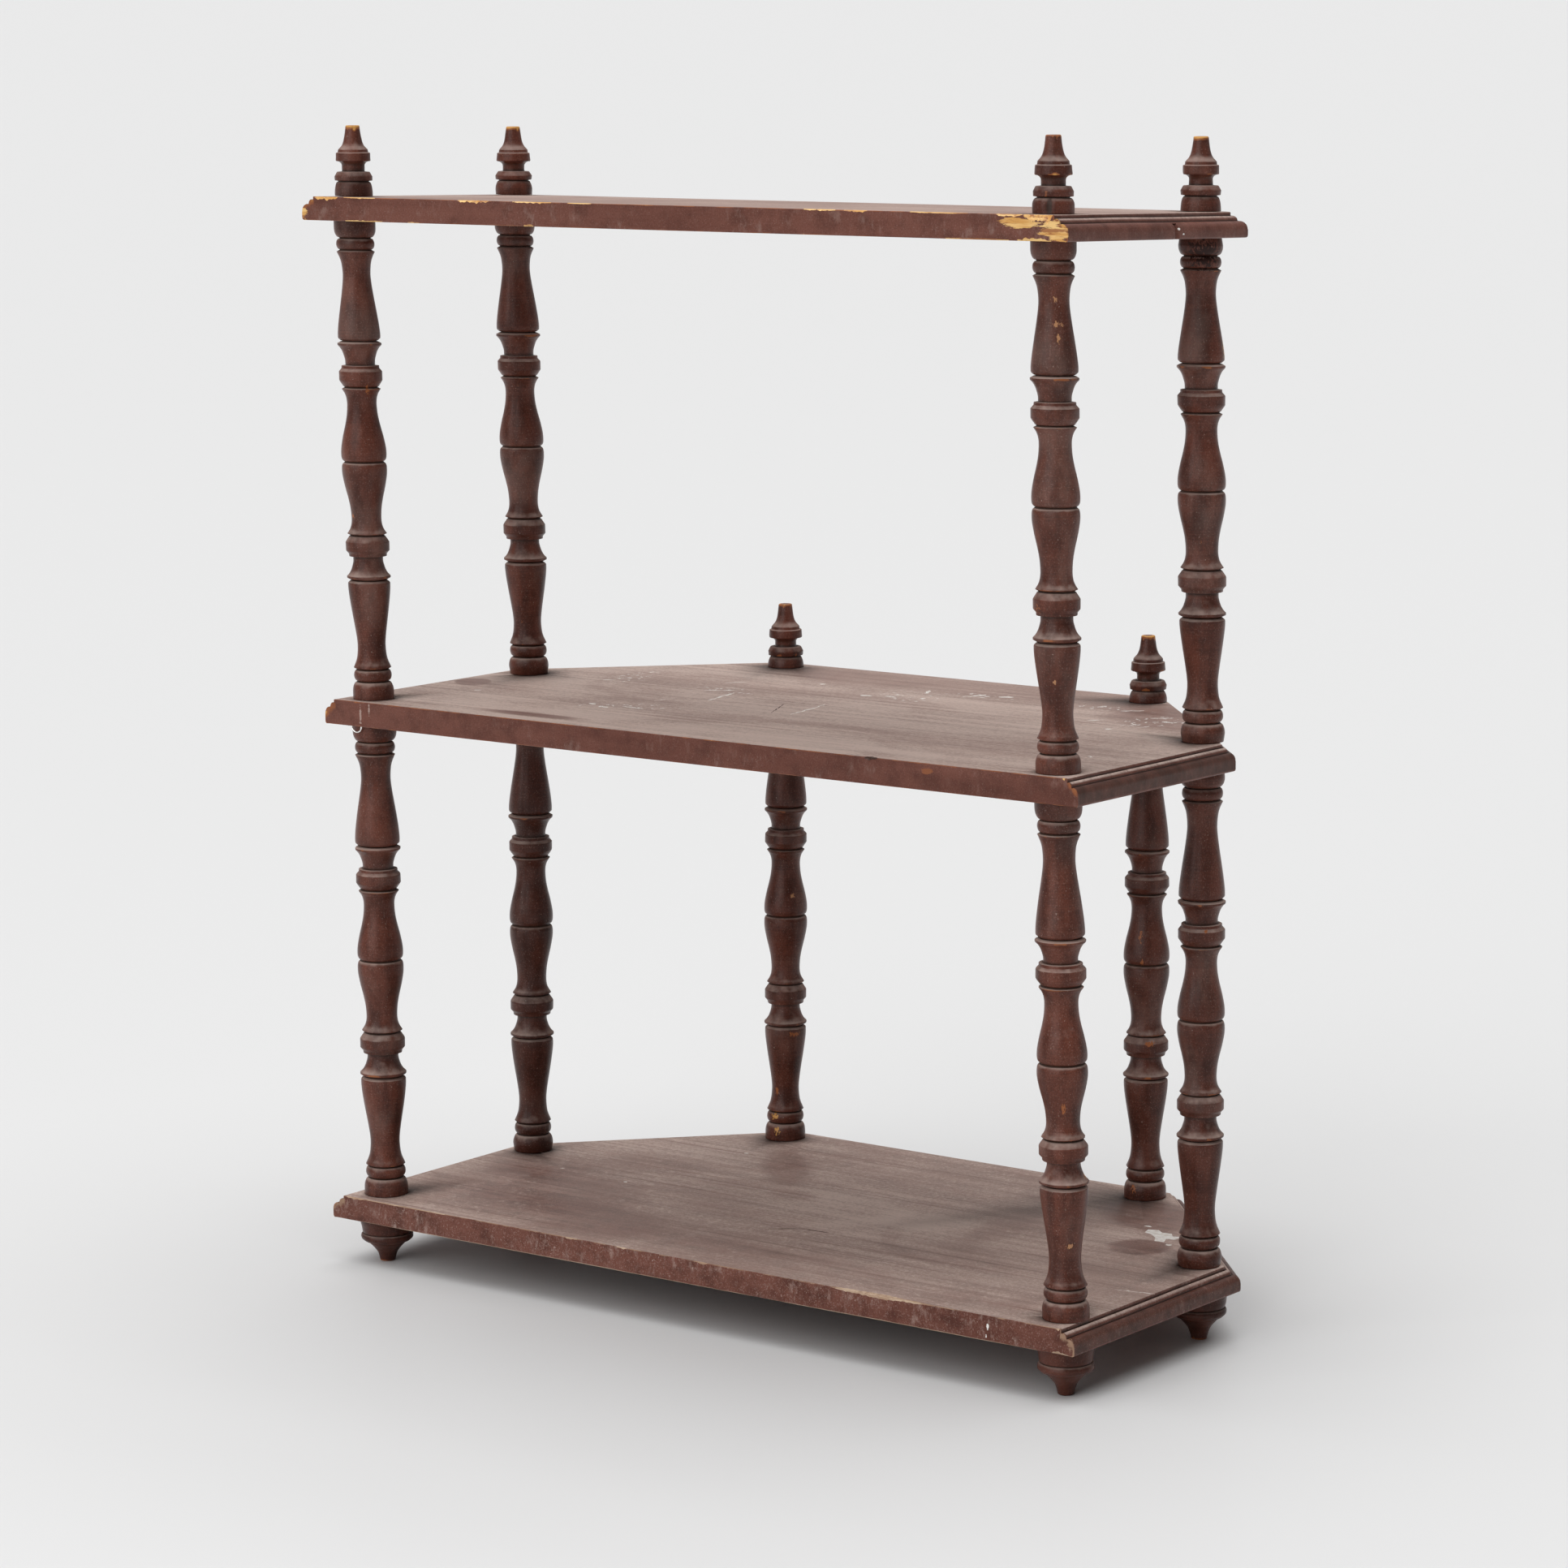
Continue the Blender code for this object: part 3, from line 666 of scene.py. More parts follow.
def meeting(first, second):
    """Point where two edges, each a normal and a reach, meet."""
    (a, p), (b, q) = first, second
    cross = a.x * b.y - a.y * b.x
    return Vector(((p * b.y - q * a.y) / cross, (a.x * q - b.x * p) / cross))


def level_corners(edges, wall, inset):
    """Corners of the outline at an inset, from the left wall corner round the front to the right one."""
    moved = [(normal, reach - inset * MM) for normal, reach in edges]
    wall_edge = (Vector((0.0, 1.0)), wall)
    chain = [wall_edge] + moved + [wall_edge]
    return [meeting(a, b) for a, b in zip(chain, chain[1:])]


def wavering(spot, amount, seed):
    """Small unevenness of a planed moulding, somewhat less of it up and down."""
    place = Vector((spot.x * BAND_WAVES, spot.y * BAND_WAVES, seed * 7.3))
    along, across, down = (noise.noise(place + Vector((apart, 0.0, 0.0))) for apart in WAVES_APART)
    amount *= MM
    return Vector((along * amount, across * amount, down * amount * 0.8))


class Board:
    """One board, built patch by patch: moulded band, wall edge with its chips, both flat faces, bores."""

    def __init__(
        self, name, deep, stations, seed, breadth, chips, lower_chips, marks=(), nicks=(), cant_shifts=(0, 0),
    ):
        self.name, self.seed, self.breadth = name, seed, breadth
        low, high = BOARD_BOXES[name]
        self.top, self.wall = high.z, high.y
        self.bottom = low.z + PLANED_OFF[name] * MM
        self.thickness = (self.top - self.bottom) / MM
        self.edges = board_edges(deep, (low, high), cant_shifts)
        self.axes = [station_at(station, name) for station in stations]
        self.chips, self.lower_chips, self.marks, self.nicks = chips, lower_chips, marks, nicks
        self.surface = Surface()

    def band(self):
        """Rows of points down the moulded edges, one row at each level."""
        outermost = level_corners(self.edges, self.wall, 0.0)
        counts = [math.ceil((b - a).length / EDGE_SPACING) for a, b in zip(outermost, outermost[1:])]
        levels = moulding_levels(self.thickness, self.breadth, NOSE_DIRT_AND_SHADE[self.name])
        rows = []
        for inset, drop, wear, dirt_and_shade, dust in levels:
            corners = level_corners(self.edges, self.wall, inset)
            row = []
            for a, b, count in zip(corners, corners[1:], counts):
                row += [a.lerp(b, i / count) for i in range(count)]
            row.append(corners[-1])
            wave = BAND_WAVE[self.name] * (1.0 if FIRST_STEP < drop < LAST_STEP else CALM_SHARE)
            made = []
            for spot in row:
                at_wall = abs(spot.y - self.wall) < AT_WALL
                uneven = wavering(spot, wave, self.seed)
                if at_wall:
                    uneven.y = 0.0
                if drop in (0.0, self.thickness):
                    uneven.z = 0.0
                place = Vector((spot.x, spot.y, self.top - drop * MM)) + uneven
                if drop > NOSE_START:
                    place.x -= math.copysign(self.nick_at(spot), spot.x) * MM
                place.x = max(CAD_BOX[0].x, min(CAD_BOX[1].x, place.x))
                marks = {"wear": CORNER_WEAR} if at_wall else {"wear": wear, "dirt_and_shade": dirt_and_shade, "dust": dust}
                made.append(self.surface.point(place, **marks))
            rows.append(made)
        for upper, lower in zip(rows, rows[1:]):
            self.surface.strip(lower, upper)
        return rows

    def nick_at(self, spot):
        """Depth in millimetres of a split across the moulding's nose."""
        for side, y, width, depth in self.nicks:
            if spot.x * side > 0 and abs(spot.y - y * MM) < width * MM:
                return depth * (1 - abs(spot.y - y * MM) / (width * MM))
        return 0.0

    def chip_size(self, x, chips, seed):
        """How far the wall arris is gone at x: inward over the face, down the wall, and how bare it is."""
        rough = noise.noise(Vector((x * RAGGED_WAVES, seed, 0.0)))
        slow = noise.noise(Vector((x * SLOW_WAVES, seed + 9.0, 0.0)))
        inward = down = ROUNDED_OFF + ROUNDED_WAVE * slow
        bare = 0.0
        for centre, half, deep, drop, bareness in chips:
            away = abs(x - centre * MM) / (half * MM)
            if away < 1.0:
                ragged = 0.75 * min(1.0, LONG_CHIP / half)
                share = max(0.0, (1 - away ** 3) * (0.7 + ragged * rough + 0.3 * slow))
                inward = max(inward, deep * share)
                down = max(down, drop * share)
                bare = max(bare, min(1.0, share * 2.2) * bareness)
        return inward, down, bare

    def arris(self, upper, corner_right, corner_left):
        """Rows of points over an arris of the wall edge, from the flat face to the wall."""
        x_right, x_left = self.surface.points[corner_right].x, self.surface.points[corner_left].x
        count = math.ceil((x_right - x_left) / WALL_SPACING)
        rows = [[corner_right] for _ in ARRIS_SHARES]
        chips = self.chips if upper else self.lower_chips
        face, turn = (self.top, -1.0) if upper else (self.bottom, 1.0)
        for i in range(1, count):
            x = x_right + (x_left - x_right) * i / count
            inward, down, bare = self.chip_size(x, chips, self.seed + (0 if upper else LOWER_SEED))
            for row, share in zip(rows, ARRIS_SHARES):
                inner = 0.0 < share < 1.0
                bulge = math.sin(math.pi * share) * ARRIS_BULGE * (1 - bare)
                if inner and bare > 0:
                    bulge += BROKEN_BULGE * noise.noise(Vector((x * BROKEN_WAVES, share * 5, self.seed)))
                y = min(self.wall - inward * (1 - share - bulge * 0.5) * MM, self.wall)
                z = face + turn * down * (share - bulge * 0.5) * MM
                marks = {"wear": ARRIS_WEAR, "bare": bare} if inner else {"wear": RIM_WEAR}
                # A deep gouge that shows no bare wood is darkened: painted shade in the notch, with dirt
                if inner and bare == 0.0 and inward > GOUGE_DEPTH:
                    marks = {"dirt_and_shade": 1.0}
                if upper and share <= ARRIS_SHARES[1]:
                    marks["dust"] = RIM_DUST
                row.append(self.surface.point((x, y, z), **marks))
        for row in rows:
            row.append(corner_left)
        for first, second in zip(rows, rows[1:]):
            self.surface.strip(*((second, first) if upper else (first, second)))
        return rows[0], rows[-1]

    def flat_face(self, outline, upper):
        """Flat face inside an outline of point numbers, with the bores and marks as faces of their own."""
        z = self.top if upper else self.bottom
        polygons = self.marks if upper else []
        flat = [self.surface.points[i].to_2d() for i in outline]
        joins = loop_joins(len(outline))
        bores = [round_points(axis, SOCKET_RADIUS, BORE_SIDES) for axis in self.axes]
        for loop in bores + [polygon for polygon, _ in polygons]:
            joins += loop_joins(len(loop), len(flat))
            flat += loop
        made, triangles, sources = filled(flat, joins)
        index = []
        for i, spot in enumerate(made):
            known = [outline[s] for s in sources[i] if s < len(outline)]
            if known:
                index.append(known[0])
            else:
                index.append(self.surface.point((spot.x, spot.y, z), dust=TOP_DUST if upper else 0.0))
        for triangle in triangles:
            middle = (made[triangle[0]] + made[triangle[1]] + made[triangle[2]]) / 3
            if any((middle - axis).length < SOCKET_RADIUS * BORE_INSIDE * MM for axis in self.axes):
                continue
            slot = 0
            for polygon, number in polygons:
                if inside(middle, polygon):
                    slot = number
            corners = [index[i] for i in triangle]
            self.surface.face(corners if upper else corners[::-1], slot)

    def bores(self):
        for axis in self.axes:
            rings = []
            for z in (self.top, self.bottom):
                spots = round_points(axis, SOCKET_RADIUS, BORE_SIDES)
                ring = [self.surface.point((*spot, z)) for spot in spots]
                rings.append(ring + ring[:1])
            self.surface.strip(*rings)

    def wall_face(self, rows, wall_upper, wall_lower):
        """Flat wall edge inside the two arrises and both ends of the moulding."""
        right_end = [row[-1] for row in rows[1:-1]]
        left_end = [row[0] for row in rows[1:-1]]
        outline = wall_upper[::-1] + right_end + wall_lower + left_end[::-1]
        flat = [Vector((-self.surface.points[i].x, self.surface.points[i].z)) for i in outline]
        _, triangles, sources = filled(flat, loop_joins(len(outline)))
        for triangle in triangles:
            self.surface.face([outline[sources[i][0]] for i in triangle])

    def build(self, materials):
        rows = self.band()
        upper_row, lower_row = rows[0], rows[-1]
        over, wall_upper = self.arris(True, upper_row[-1], upper_row[0])
        under, wall_lower = self.arris(False, lower_row[-1], lower_row[0])
        self.wall_face(rows, wall_upper, wall_lower)
        self.flat_face(upper_row + over[1:-1], True)
        self.flat_face(lower_row + under[1:-1], False)
        self.bores()
        surface = self.surface
        points = [spot + Vector((0.0, 0.0, lift(self.name, spot.x, spot.y))) for spot in surface.points]
        piece = new_mesh_object(self.name + "_look", points, surface.faces, surface.marks)
        piece.data.polygons.foreach_set("material_index", surface.slots)
        finished(piece, self.name, materials[0])
        for extra in materials[1:]:
            piece.data.materials.append(extra)
        even = piece.modifiers.new("flat faces stay flat", "WEIGHTED_NORMAL")
        even.keep_sharp = True


def loop_joins(count, first=0):
    """Pairs of neighbours round a closed line of points."""
    return [(first + i, first + (i + 1) % count) for i in range(count)]


def filled(flat, joins):
    """Points and triangles inside flat loops, and the given points that each point stands for."""
    made, _, triangles, sources, _, _ = geometry.delaunay_2d_cdt(flat, joins, [], INSIDE_ONLY, TOUCHING)
    return made, triangles, sources


def round_points(centre, radius, count):
    return [centre + Vector((math.cos(turn), math.sin(turn))) * radius * MM for turn in circle(count)]


def circle(count):
    return [2 * math.pi * i / count for i in range(count)]


def inside(spot, polygon):
    """True if a flat point lies inside a polygon."""
    hit = False
    for a, b in zip(polygon, polygon[1:] + polygon[:1]):
        if (a.y > spot.y) != (b.y > spot.y):
            if spot.x < (b.x - a.x) * (spot.y - a.y) / (b.y - a.y) + a.x:
                hit = not hit
    return hit


def stroke(start, end, width, seed):
    """Ragged outline of a scratch or a streak of paint between two points, in millimetres."""
    dice = random.Random(seed)
    a, b = Vector(start) * MM, Vector(end) * MM
    along = (b - a).normalized()
    across = Vector((-along.y, along.x))
    count = max(4, round((b - a).length / (2.5 * MM)))
    near, far = [], []
    for i in range(count + 1):
        t = i / count
        taper = math.sin(math.pi * (0.06 + 0.88 * t)) ** 0.5
        half = width * MM / 2 * taper * dice.uniform(0.35, 1.15)
        middle = a.lerp(b, t) + across * dice.uniform(-0.3, 0.3) * width * MM
        near.append(middle - across * half)
        far.append(middle + across * half)
    return near + far[::-1]


def blot(centre, length, width, angle, seed, corners=11):
    """Ragged spot of paint, in millimetres and degrees."""
    dice = random.Random(seed)
    tilt = Matrix.Rotation(math.radians(angle), 2)
    points = []
    for turn in circle(corners):
        ragged = dice.uniform(0.6, 1.1)
        points.append(Vector(centre) * MM + tilt @ Vector((
            math.cos(turn) * length / 2 * ragged * MM, math.sin(turn) * width / 2 * ragged * MM)))
    return points


# Materials

PAINT_SPECULAR = 0.2
DUST_RING = 14.6
ENDLESS = 1e9
# How a shift of the noise is shared out to X, Y and Z
NOISE_SHIFT = (1.0, 1.7, 0.6)


class Nodes:
    """A node tree, with a short way to add to it."""

    def __init__(self, tree):
        self.tree = tree

    def put(self, socket, value):
        """Link or constant on a socket. A colour may leave out its fourth number."""
        if isinstance(value, bpy.types.NodeSocket):
            self.tree.links.new(value, socket)
        elif isinstance(value, tuple) and len(value) == 3 and len(socket.default_value) == 4:
            socket.default_value = (*value, 1.0)
        else:
            socket.default_value = value

    def node(self, kind, inputs, **settings):
        """Outputs of a new node, from its kind, what goes in by name or number, and its settings."""
        made = self.tree.nodes.new("ShaderNode" + kind)
        for label, setting in settings.items():
            setattr(made, label, setting)
        for label, value in inputs.items():
            self.put(made.inputs[label], value)
        return made.outputs

    def times(self, first, second):
        return self.node("Math", {0: first, 1: second}, operation="MULTIPLY")[0]

    def plus(self, first, second, clamp=False):
        return self.node("Math", {0: first, 1: second}, operation="ADD", use_clamp=clamp)[0]

    def most(self, first, second):
        return self.node("Math", {0: first, 1: second}, operation="MAXIMUM")[0]


class Look(Nodes):
    """One node material, with short names for the nodes that the looks below are made of."""

    def __init__(self, name):
        self.material = bpy.data.materials.new(name)
        self.material.use_nodes = True
        super().__init__(self.material.node_tree)
        self.shader = self.tree.nodes["Principled BSDF"]
        self.place = self.node("TexCoord", {})["Object"]

    def set(self, label, value):
        """Link or constant on a socket of the shader."""
        self.put(self.shader.inputs[label], value)

    def grain(self, *scale, detail=3.0, rough=0.55, shift=0.0, twist=0.0):
        """Noise from 0 to 1, in features per metre: one scale for all axes, or one for each."""
        stretch = scale * 3 if len(scale) == 1 else scale
        moved = tuple(shift * share for share in NOISE_SHIFT)
        spot = self.node("VectorMath", {0: self.place, 1: stretch, 2: moved}, operation="MULTIPLY_ADD")[0]
        inputs = {"Vector": spot, "Scale": 1.0, "Detail": detail, "Roughness": rough, "Distortion": twist}
        return self.node("TexNoise", inputs)["Fac"]

    def span(self, value, low, high, to_low=0.0, to_high=1.0):
        """Smooth step of a value from one range to another."""
        inputs = {"Value": value, "From Min": low, "From Max": high, "To Min": to_low, "To Max": to_high}
        return self.node("MapRange", inputs, interpolation_type="SMOOTHSTEP")["Result"]

    def mixed(self, share, first, second):
        """Colour between two others."""
        return self.node("Mix", {0: share, 6: first, 7: second}, data_type="RGBA")[2]

    def blend(self, first, second, share):
        """Weighted mean of two values."""
        return self.plus(self.times(first, 1 - share), self.times(second, share))

    def mark(self, label):
        """A mark of the mesh."""
        return self.node("Attribute", {}, attribute_name=label)["Fac"]

    def stirred(self, label, scale, amount, shift):
        """A mark of the mesh, made ragged by noise."""
        return self.plus(self.mark(label), self.times(self.grain(scale, detail=5, shift=shift), amount))

    def away(self, centre, radii, angle=0.0):
        """0 at a place on the object, 1 at the radii round it, all in millimetres."""
        inputs = {
            "Vector": self.place, "Location": [value * MM for value in centre],
            "Rotation": (0.0, 0.0, math.radians(angle)), "Scale": [value * MM for value in radii],
        }
        spot = self.node("Mapping", inputs, vector_type="TEXTURE")[0]
        return self.node("VectorMath", {0: spot}, operation="LENGTH")["Value"]

    def oval(self, centre, radii, soft, angle=0.0):
        """1 inside an oval on a board, fading out over a share of its radius."""
        away = self.away((*centre, 0.0), (*radii, ENDLESS), angle)
        return self.span(away, 1.0 - soft, 1.0 + soft, 1.0, 0.0)

    def patch(self, centre, radii, ragged, angle=0.0):
        """1 in a patch round a place, with an edge made ragged by a value from -0.5 to 0.5."""
        near = self.span(self.away(centre, radii, angle), 0.0, 1.0, 1.0, 0.0)
        return self.span(self.plus(near, ragged), 0.56, 0.64)

    def finish(self, colour, roughness, height, strength, distance):
        """The material, with its colour, its roughness and a fine relief."""
        self.set("Base Color", colour)
        self.set("Roughness", roughness)
        relief = {"Strength": strength, "Distance": distance, "Height": height}
        self.set("Normal", self.node("Bump", relief)[0])
        return self.material


def turned_dust(look, grit, dustiness):
    """How dusty a turned piece is: a film with powder and specks in it, more on the ledges."""
    film = look.grain(26, 26, 14, detail=5, rough=0.6, shift=7.0)
    film = look.span(film, 0.48, 0.75, 0.0, 0.14 * dustiness)
    film = look.plus(film, look.span(grit, 0.28, 0.46, 0.14 * dustiness, 0.0))
    specks = look.grain(900, 900, 700, detail=2, shift=2.0)
    specks = look.span(specks, 0.70, 0.77, 0.0, 0.50 * dustiness)
    ledges = look.span(look.stirred("dust", 190, 0.8, 5.0), 0.62, 1.30, 0.0, 0.60 * dustiness)
    return look.most(look.plus(film, specks, clamp=True), ledges)


def turned_wear(look, colour, wornness, rubs_and_shade):
    """The colour of a turned piece with its edges rubbed to orange and pine, bare places, painted shadow and
    scars.
    """
    rub = look.stirred("wear", 70, wornness, 9.0)
    colour = look.mixed(look.span(rub, 1.36, 1.48, 0.0, 0.85), colour, UNDERCOAT)
    colour = look.mixed(look.span(rub, 1.60, 1.74, 0.0, 0.9), colour, PINE)
    ragged = look.grain(800, 800, 420, detail=5, rough=0.7, shift=21.0)
    ragged = look.span(ragged, 0.28, 0.72, -0.55, 0.5)
    # Each patch shows wood or undercoat, or is painted shadow
    for centre, radii, angle, bare in rubs_and_shade:
        colour = look.mixed(look.patch(centre, radii, ragged, angle), colour, bare)
    scars = look.grain(85, 85, 60, detail=6, rough=0.7, shift=13.0)
    return look.mixed(look.span(scars, 0.70, 0.73, 0.0, 0.6), colour, UNDERCOAT)


def turned_paint(name, dustiness, wornness, rubs_and_shade=()):
    """Old paint on a turned piece: streaks, tool lines and grit, painted shade on some whole pieces, dirt and
    painted shade in the grooves, dust and wear.
    """
    look = Look(name)
    lines = look.grain(16, 16, 1100, shift=4.0)
    streaks = look.grain(130, 130, 10, detail=5, rough=0.6)
    mottle = look.grain(60, 60, 42, detail=6, rough=0.62, shift=3.0)
    grit = look.grain(1300, 1300, 1100, rough=0.6, shift=19.0)
    tone = look.span(look.blend(look.blend(streaks, mottle, 0.6), lines, 0.15), 0.37, 0.63)
    # Painted shade: each piece is darkened towards SHADED_PAINT by its share
    colour = look.mixed(look.mark("painted_shade"), look.mixed(tone, DEEP_PAINT, LIGHT_PAINT), SHADED_PAINT)
    colour = look.mixed(look.span(grit, 0.50, 0.70, 0.0, 0.45), colour, DIRT_AND_SHADE)
    dusty = turned_dust(look, grit, dustiness)
    colour = look.mixed(dusty, colour, DUST)
    # Grooves and hollows are darkened: dirt with painted shade
    colour = look.mixed(look.span(look.stirred("dirt_and_shade", 150, 0.5, 11.0), 0.45, 1.0, 0.0, 0.9), colour, DIRT_AND_SHADE)
    colour = turned_wear(look, colour, wornness, rubs_and_shade)

    look.set("Specular IOR Level", PAINT_SPECULAR)
    roughness = look.span(look.plus(dusty, look.times(mottle, 0.25)), 0.08, 0.5, 0.28, 0.62)
    fibres = look.grain(420, 420, 14, shift=6.0)
    height = look.blend(look.blend(lines, fibres, 0.4), grit, 0.35)
    return look.finish(colour, roughness, height, 0.50, 0.0005)


def board_ground(look, fibre, band, grit, speckle):
    """Paint of a board under its dust: light and dark along the grain, blotches and grit."""
    tone = look.span(look.blend(fibre, band, 0.45), 0.36, 0.64)
    colour = look.mixed(tone, FACE_PAINT, FACE_LIGHT)
    blotch = look.grain(70, detail=6, rough=0.65, shift=8.0)
    colour = look.mixed(look.span(blotch, 0.42, 0.72, 0.0, 0.4 + 0.5 * speckle), colour, DEEP_PAINT)
    return look.mixed(look.span(grit, 0.50, 0.70, 0.0, 0.35), colour, DEEP_PAINT)


def dust_cover(look, fibre, powder, seed, cleared, axes):
    """How thick the dust lies on a board: smeared, furrowed, wiped or gathered, and left round columns."""
    smears = look.grain(7, 11, 1, detail=6, rough=0.6, shift=seed, twist=1.2)
    furrows = look.grain(4, 260, 1, detail=4, rough=0.6, shift=23.0 + seed, twist=0.5)
    cover = look.span(look.blend(fibre, powder, 0.6), 0.36, 0.64, 0.70, 1.16)
    cover = look.times(look.span(smears, 0.36, 0.64, 0.68, 1.0), cover)
    cover = look.times(cover, look.span(furrows, 0.30, 0.42, 0.50, 1.0))
    for centre, radii, angle, soft, left in cleared:
        wiped = look.oval(centre, radii, soft, angle)
        cover = look.times(cover, look.span(wiped, 0.0, 1.0, 1.0, left))
    for axis in axes:
        ring = look.oval(tuple(axis / MM), (DUST_RING, DUST_RING), 0.12)
        cover = look.most(cover, look.times(ring, look.span(fibre, 0.3, 0.7, 0.6, 1.2)))
    return cover


def dust_specks(look, grit, speckle):
    """Dust that clings where the paint of a board is rough, more in some places than in others."""
    strewn = look.span(look.grain(22, 22, 60, detail=4, shift=17.0), 0.40, 0.62)
    scraped = look.grain(190, 190, 90, detail=6, rough=0.7, shift=27.0)
    scraped = look.span(scraped, 0.50, 0.72, 0.0, 0.7 * speckle)
    specks = look.span(look.grain(950, shift=2.0), 0.63, 0.71, 0.0, 0.9 * speckle)
    rough = look.times(look.most(specks, scraped), strewn)
    return look.plus(rough, look.span(grit, 0.26, 0.46, 0.48 * speckle, 0.0))


def board_wear(look, colour, worn, wood, patches, flecked):
    """The colour of a board with rubbed and broken arrises, flakes of white paint and single patches."""
    rub = look.stirred("wear", 110, 0.9, 9.0)
    colour = look.mixed(look.span(rub, 1.10, 1.30, 0.0, 0.8), colour, worn)
    colour = look.mixed(look.span(rub, 1.34, 1.44), colour, wood[0])
    raw = look.mixed(look.span(look.grain(40, 420, 420, detail=4, shift=1.0), 0.36, 0.64), *wood)
    streaks = look.grain(45, 500, 330, detail=5, rough=0.68, shift=37.0)
    raw = look.mixed(look.span(streaks, 0.50, 0.62, 0.0, 0.85), raw, worn)
    colour = look.mixed(look.span(look.stirred("bare", 260, 0.5, 15.0), 0.66, 0.76), colour, raw)
    flakes = look.span(look.grain(220, detail=5, rough=0.62, shift=31.0), 0.59, 0.62)
    for centre, radii, angle in flecked:
        strewn = look.times(flakes, look.oval(centre, radii, 0.4, angle))
        colour = look.mixed(strewn, colour, WHITE_PAINT)
    ragged = look.grain(70, 300, 420, detail=6, rough=0.72, shift=21.0)
    ragged = look.span(ragged, 0.25, 0.75, -0.55, 0.5)
    for centre, radii, share, bare in patches:
        shown = look.times(look.patch(centre, radii, ragged), share)
        colour = look.mixed(shown, colour, bare or raw)
    return colour


def board_paint(name, axes, dustiness, seed, speckle, worn, wood, cleared=(), patches=(), flecked=()):
    """Old paint on a board: grain along X, dust above with wiped patches, dirt and painted shade in the
    moulding, wear.
    """
    look = Look(name)
    fibre = look.grain(5, 170, 60, detail=6, rough=0.65, shift=seed)
    band = look.grain(3, 38, 20, shift=3.0 + seed, twist=0.6)
    grit = look.grain(1200, rough=0.6, shift=19.0)
    powder = look.grain(420, 700, 420, detail=4, rough=0.7, shift=5.0 + seed)
    colour = board_ground(look, fibre, band, grit, speckle)

    cover = dust_cover(look, fibre, powder, seed, cleared, axes)
    lying = look.times(look.span(look.mark("dust"), 0.20, 0.7), dustiness)
    dusty = look.plus(look.times(cover, lying), dust_specks(look, grit, speckle), clamp=True)
    drifts = look.blend(look.blend(fibre, band, 0.3), powder, 0.4)
    colour = look.mixed(dusty, colour, look.mixed(look.span(drifts, 0.38, 0.62), DULL_DUST, PALE_DUST))
    # The moulding's grooves and nose and the gouge are darkened: dirt with painted shade
    colour = look.mixed(look.span(look.stirred("dirt_and_shade", 150, 0.5, 11.0), 0.45, 1.0, 0.0, 0.85), colour, DIRT_AND_SHADE)
    colour = board_wear(look, colour, worn, wood, patches, flecked)

    look.set("Specular IOR Level", PAINT_SPECULAR)
    roughness = look.span(dusty, 0.0, 0.7, 0.36, 0.60)
    height = look.blend(fibre, look.grain(24, 30, 24, shift=5.0), 0.5)
    return look.finish(colour, roughness, height, 0.30, 0.0008)


def spot_paint(name, scale, reach, colours, roughness, relief_scale, depth):
    """Rough spots of two colours."""
    look = Look(name)
    colour = look.mixed(look.span(look.grain(scale, detail=4), *reach), *colours)
    return look.finish(colour, roughness, look.grain(relief_scale), 0.3, depth)


def fleck_paint():
    """Spilt white paint, thin and a little dirty."""
    return spot_paint("white_fleck", 300, (0.35, 0.7), (WHITE_PAINT, DIRTY_WHITE), 0.6, 500, 0.0003)


def scuff_paint():
    """Paint scratched pale."""
    return spot_paint("scuffed_paint", 400, (0.4, 0.65), (DUST, WHITE_PAINT), 0.7, 600, 0.0002)


def crack_paint():
    """Dirt that fills a crack or a scratch."""
    return spot_paint("dirty_crack", 300, (0.4, 0.65), (DIRT_AND_SHADE, DEEP_PAINT), 0.8, 600, 0.0003)


def staple_steel():
    """Bright wire, dull in spots."""
    look = Look("staple_steel")
    colour = look.mixed(look.span(look.grain(700), 0.4, 0.7), BRIGHT_STEEL, DULL_STEEL)
    look.set("Metallic", 1.0)
    roughness = look.span(look.grain(900), 0.3, 0.7, 0.2, 0.4)
    return look.finish(colour, roughness, look.grain(2000, 2000, 300), 0.1, 0.0001)


# Hanging staple

STAPLE_WIRE = 1.0
STAPLE_SIDE = 3.75
STAPLE_LEG = 6.0
STAPLE_FULLNESS = 0.8
STAPLE_STEPS = 16


def add_staple(material):
    """Bent wire eye with both legs in the middle board."""
    low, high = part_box("hanging_staple")
    x, y = (low.x + high.x) / 2, (low.y + high.y) / 2
    depth = (BOARD_BOXES["middle_shelf"][0].z - low.z) / MM - STAPLE_WIRE / 2
    seat = underneath("middle_shelf", (x, y))
    wire = bpy.data.curves.new("hanging_staple_look", "CURVE")
    wire.dimensions = "3D"
    wire.bevel_depth = STAPLE_WIRE / 2 * MM
    wire.bevel_resolution = 4
    wire.use_fill_caps = True
    points = [(-STAPLE_SIDE, STAPLE_LEG)]
    for i in range(STAPLE_STEPS + 1):
        turn = math.pi * i / STAPLE_STEPS
        points.append((-STAPLE_SIDE * math.cos(turn), -depth * math.sin(turn) ** STAPLE_FULLNESS))
    points.append((STAPLE_SIDE, STAPLE_LEG))
    spline = wire.splines.new("POLY")
    spline.points.add(len(points) - 1)
    for target, (across, up) in zip(spline.points, points):
        target.co = (x + across * MM, y, seat + up * MM, 1.0)
    spline.use_smooth = True
    finished(linked("hanging_staple_look", wire), "hanging_staple", material)


# Marks on the upper faces of the boards, in millimetres, each with its slot. A spot has a centre, a length,
# a width and a turn in degrees, and a streak has two ends and a width

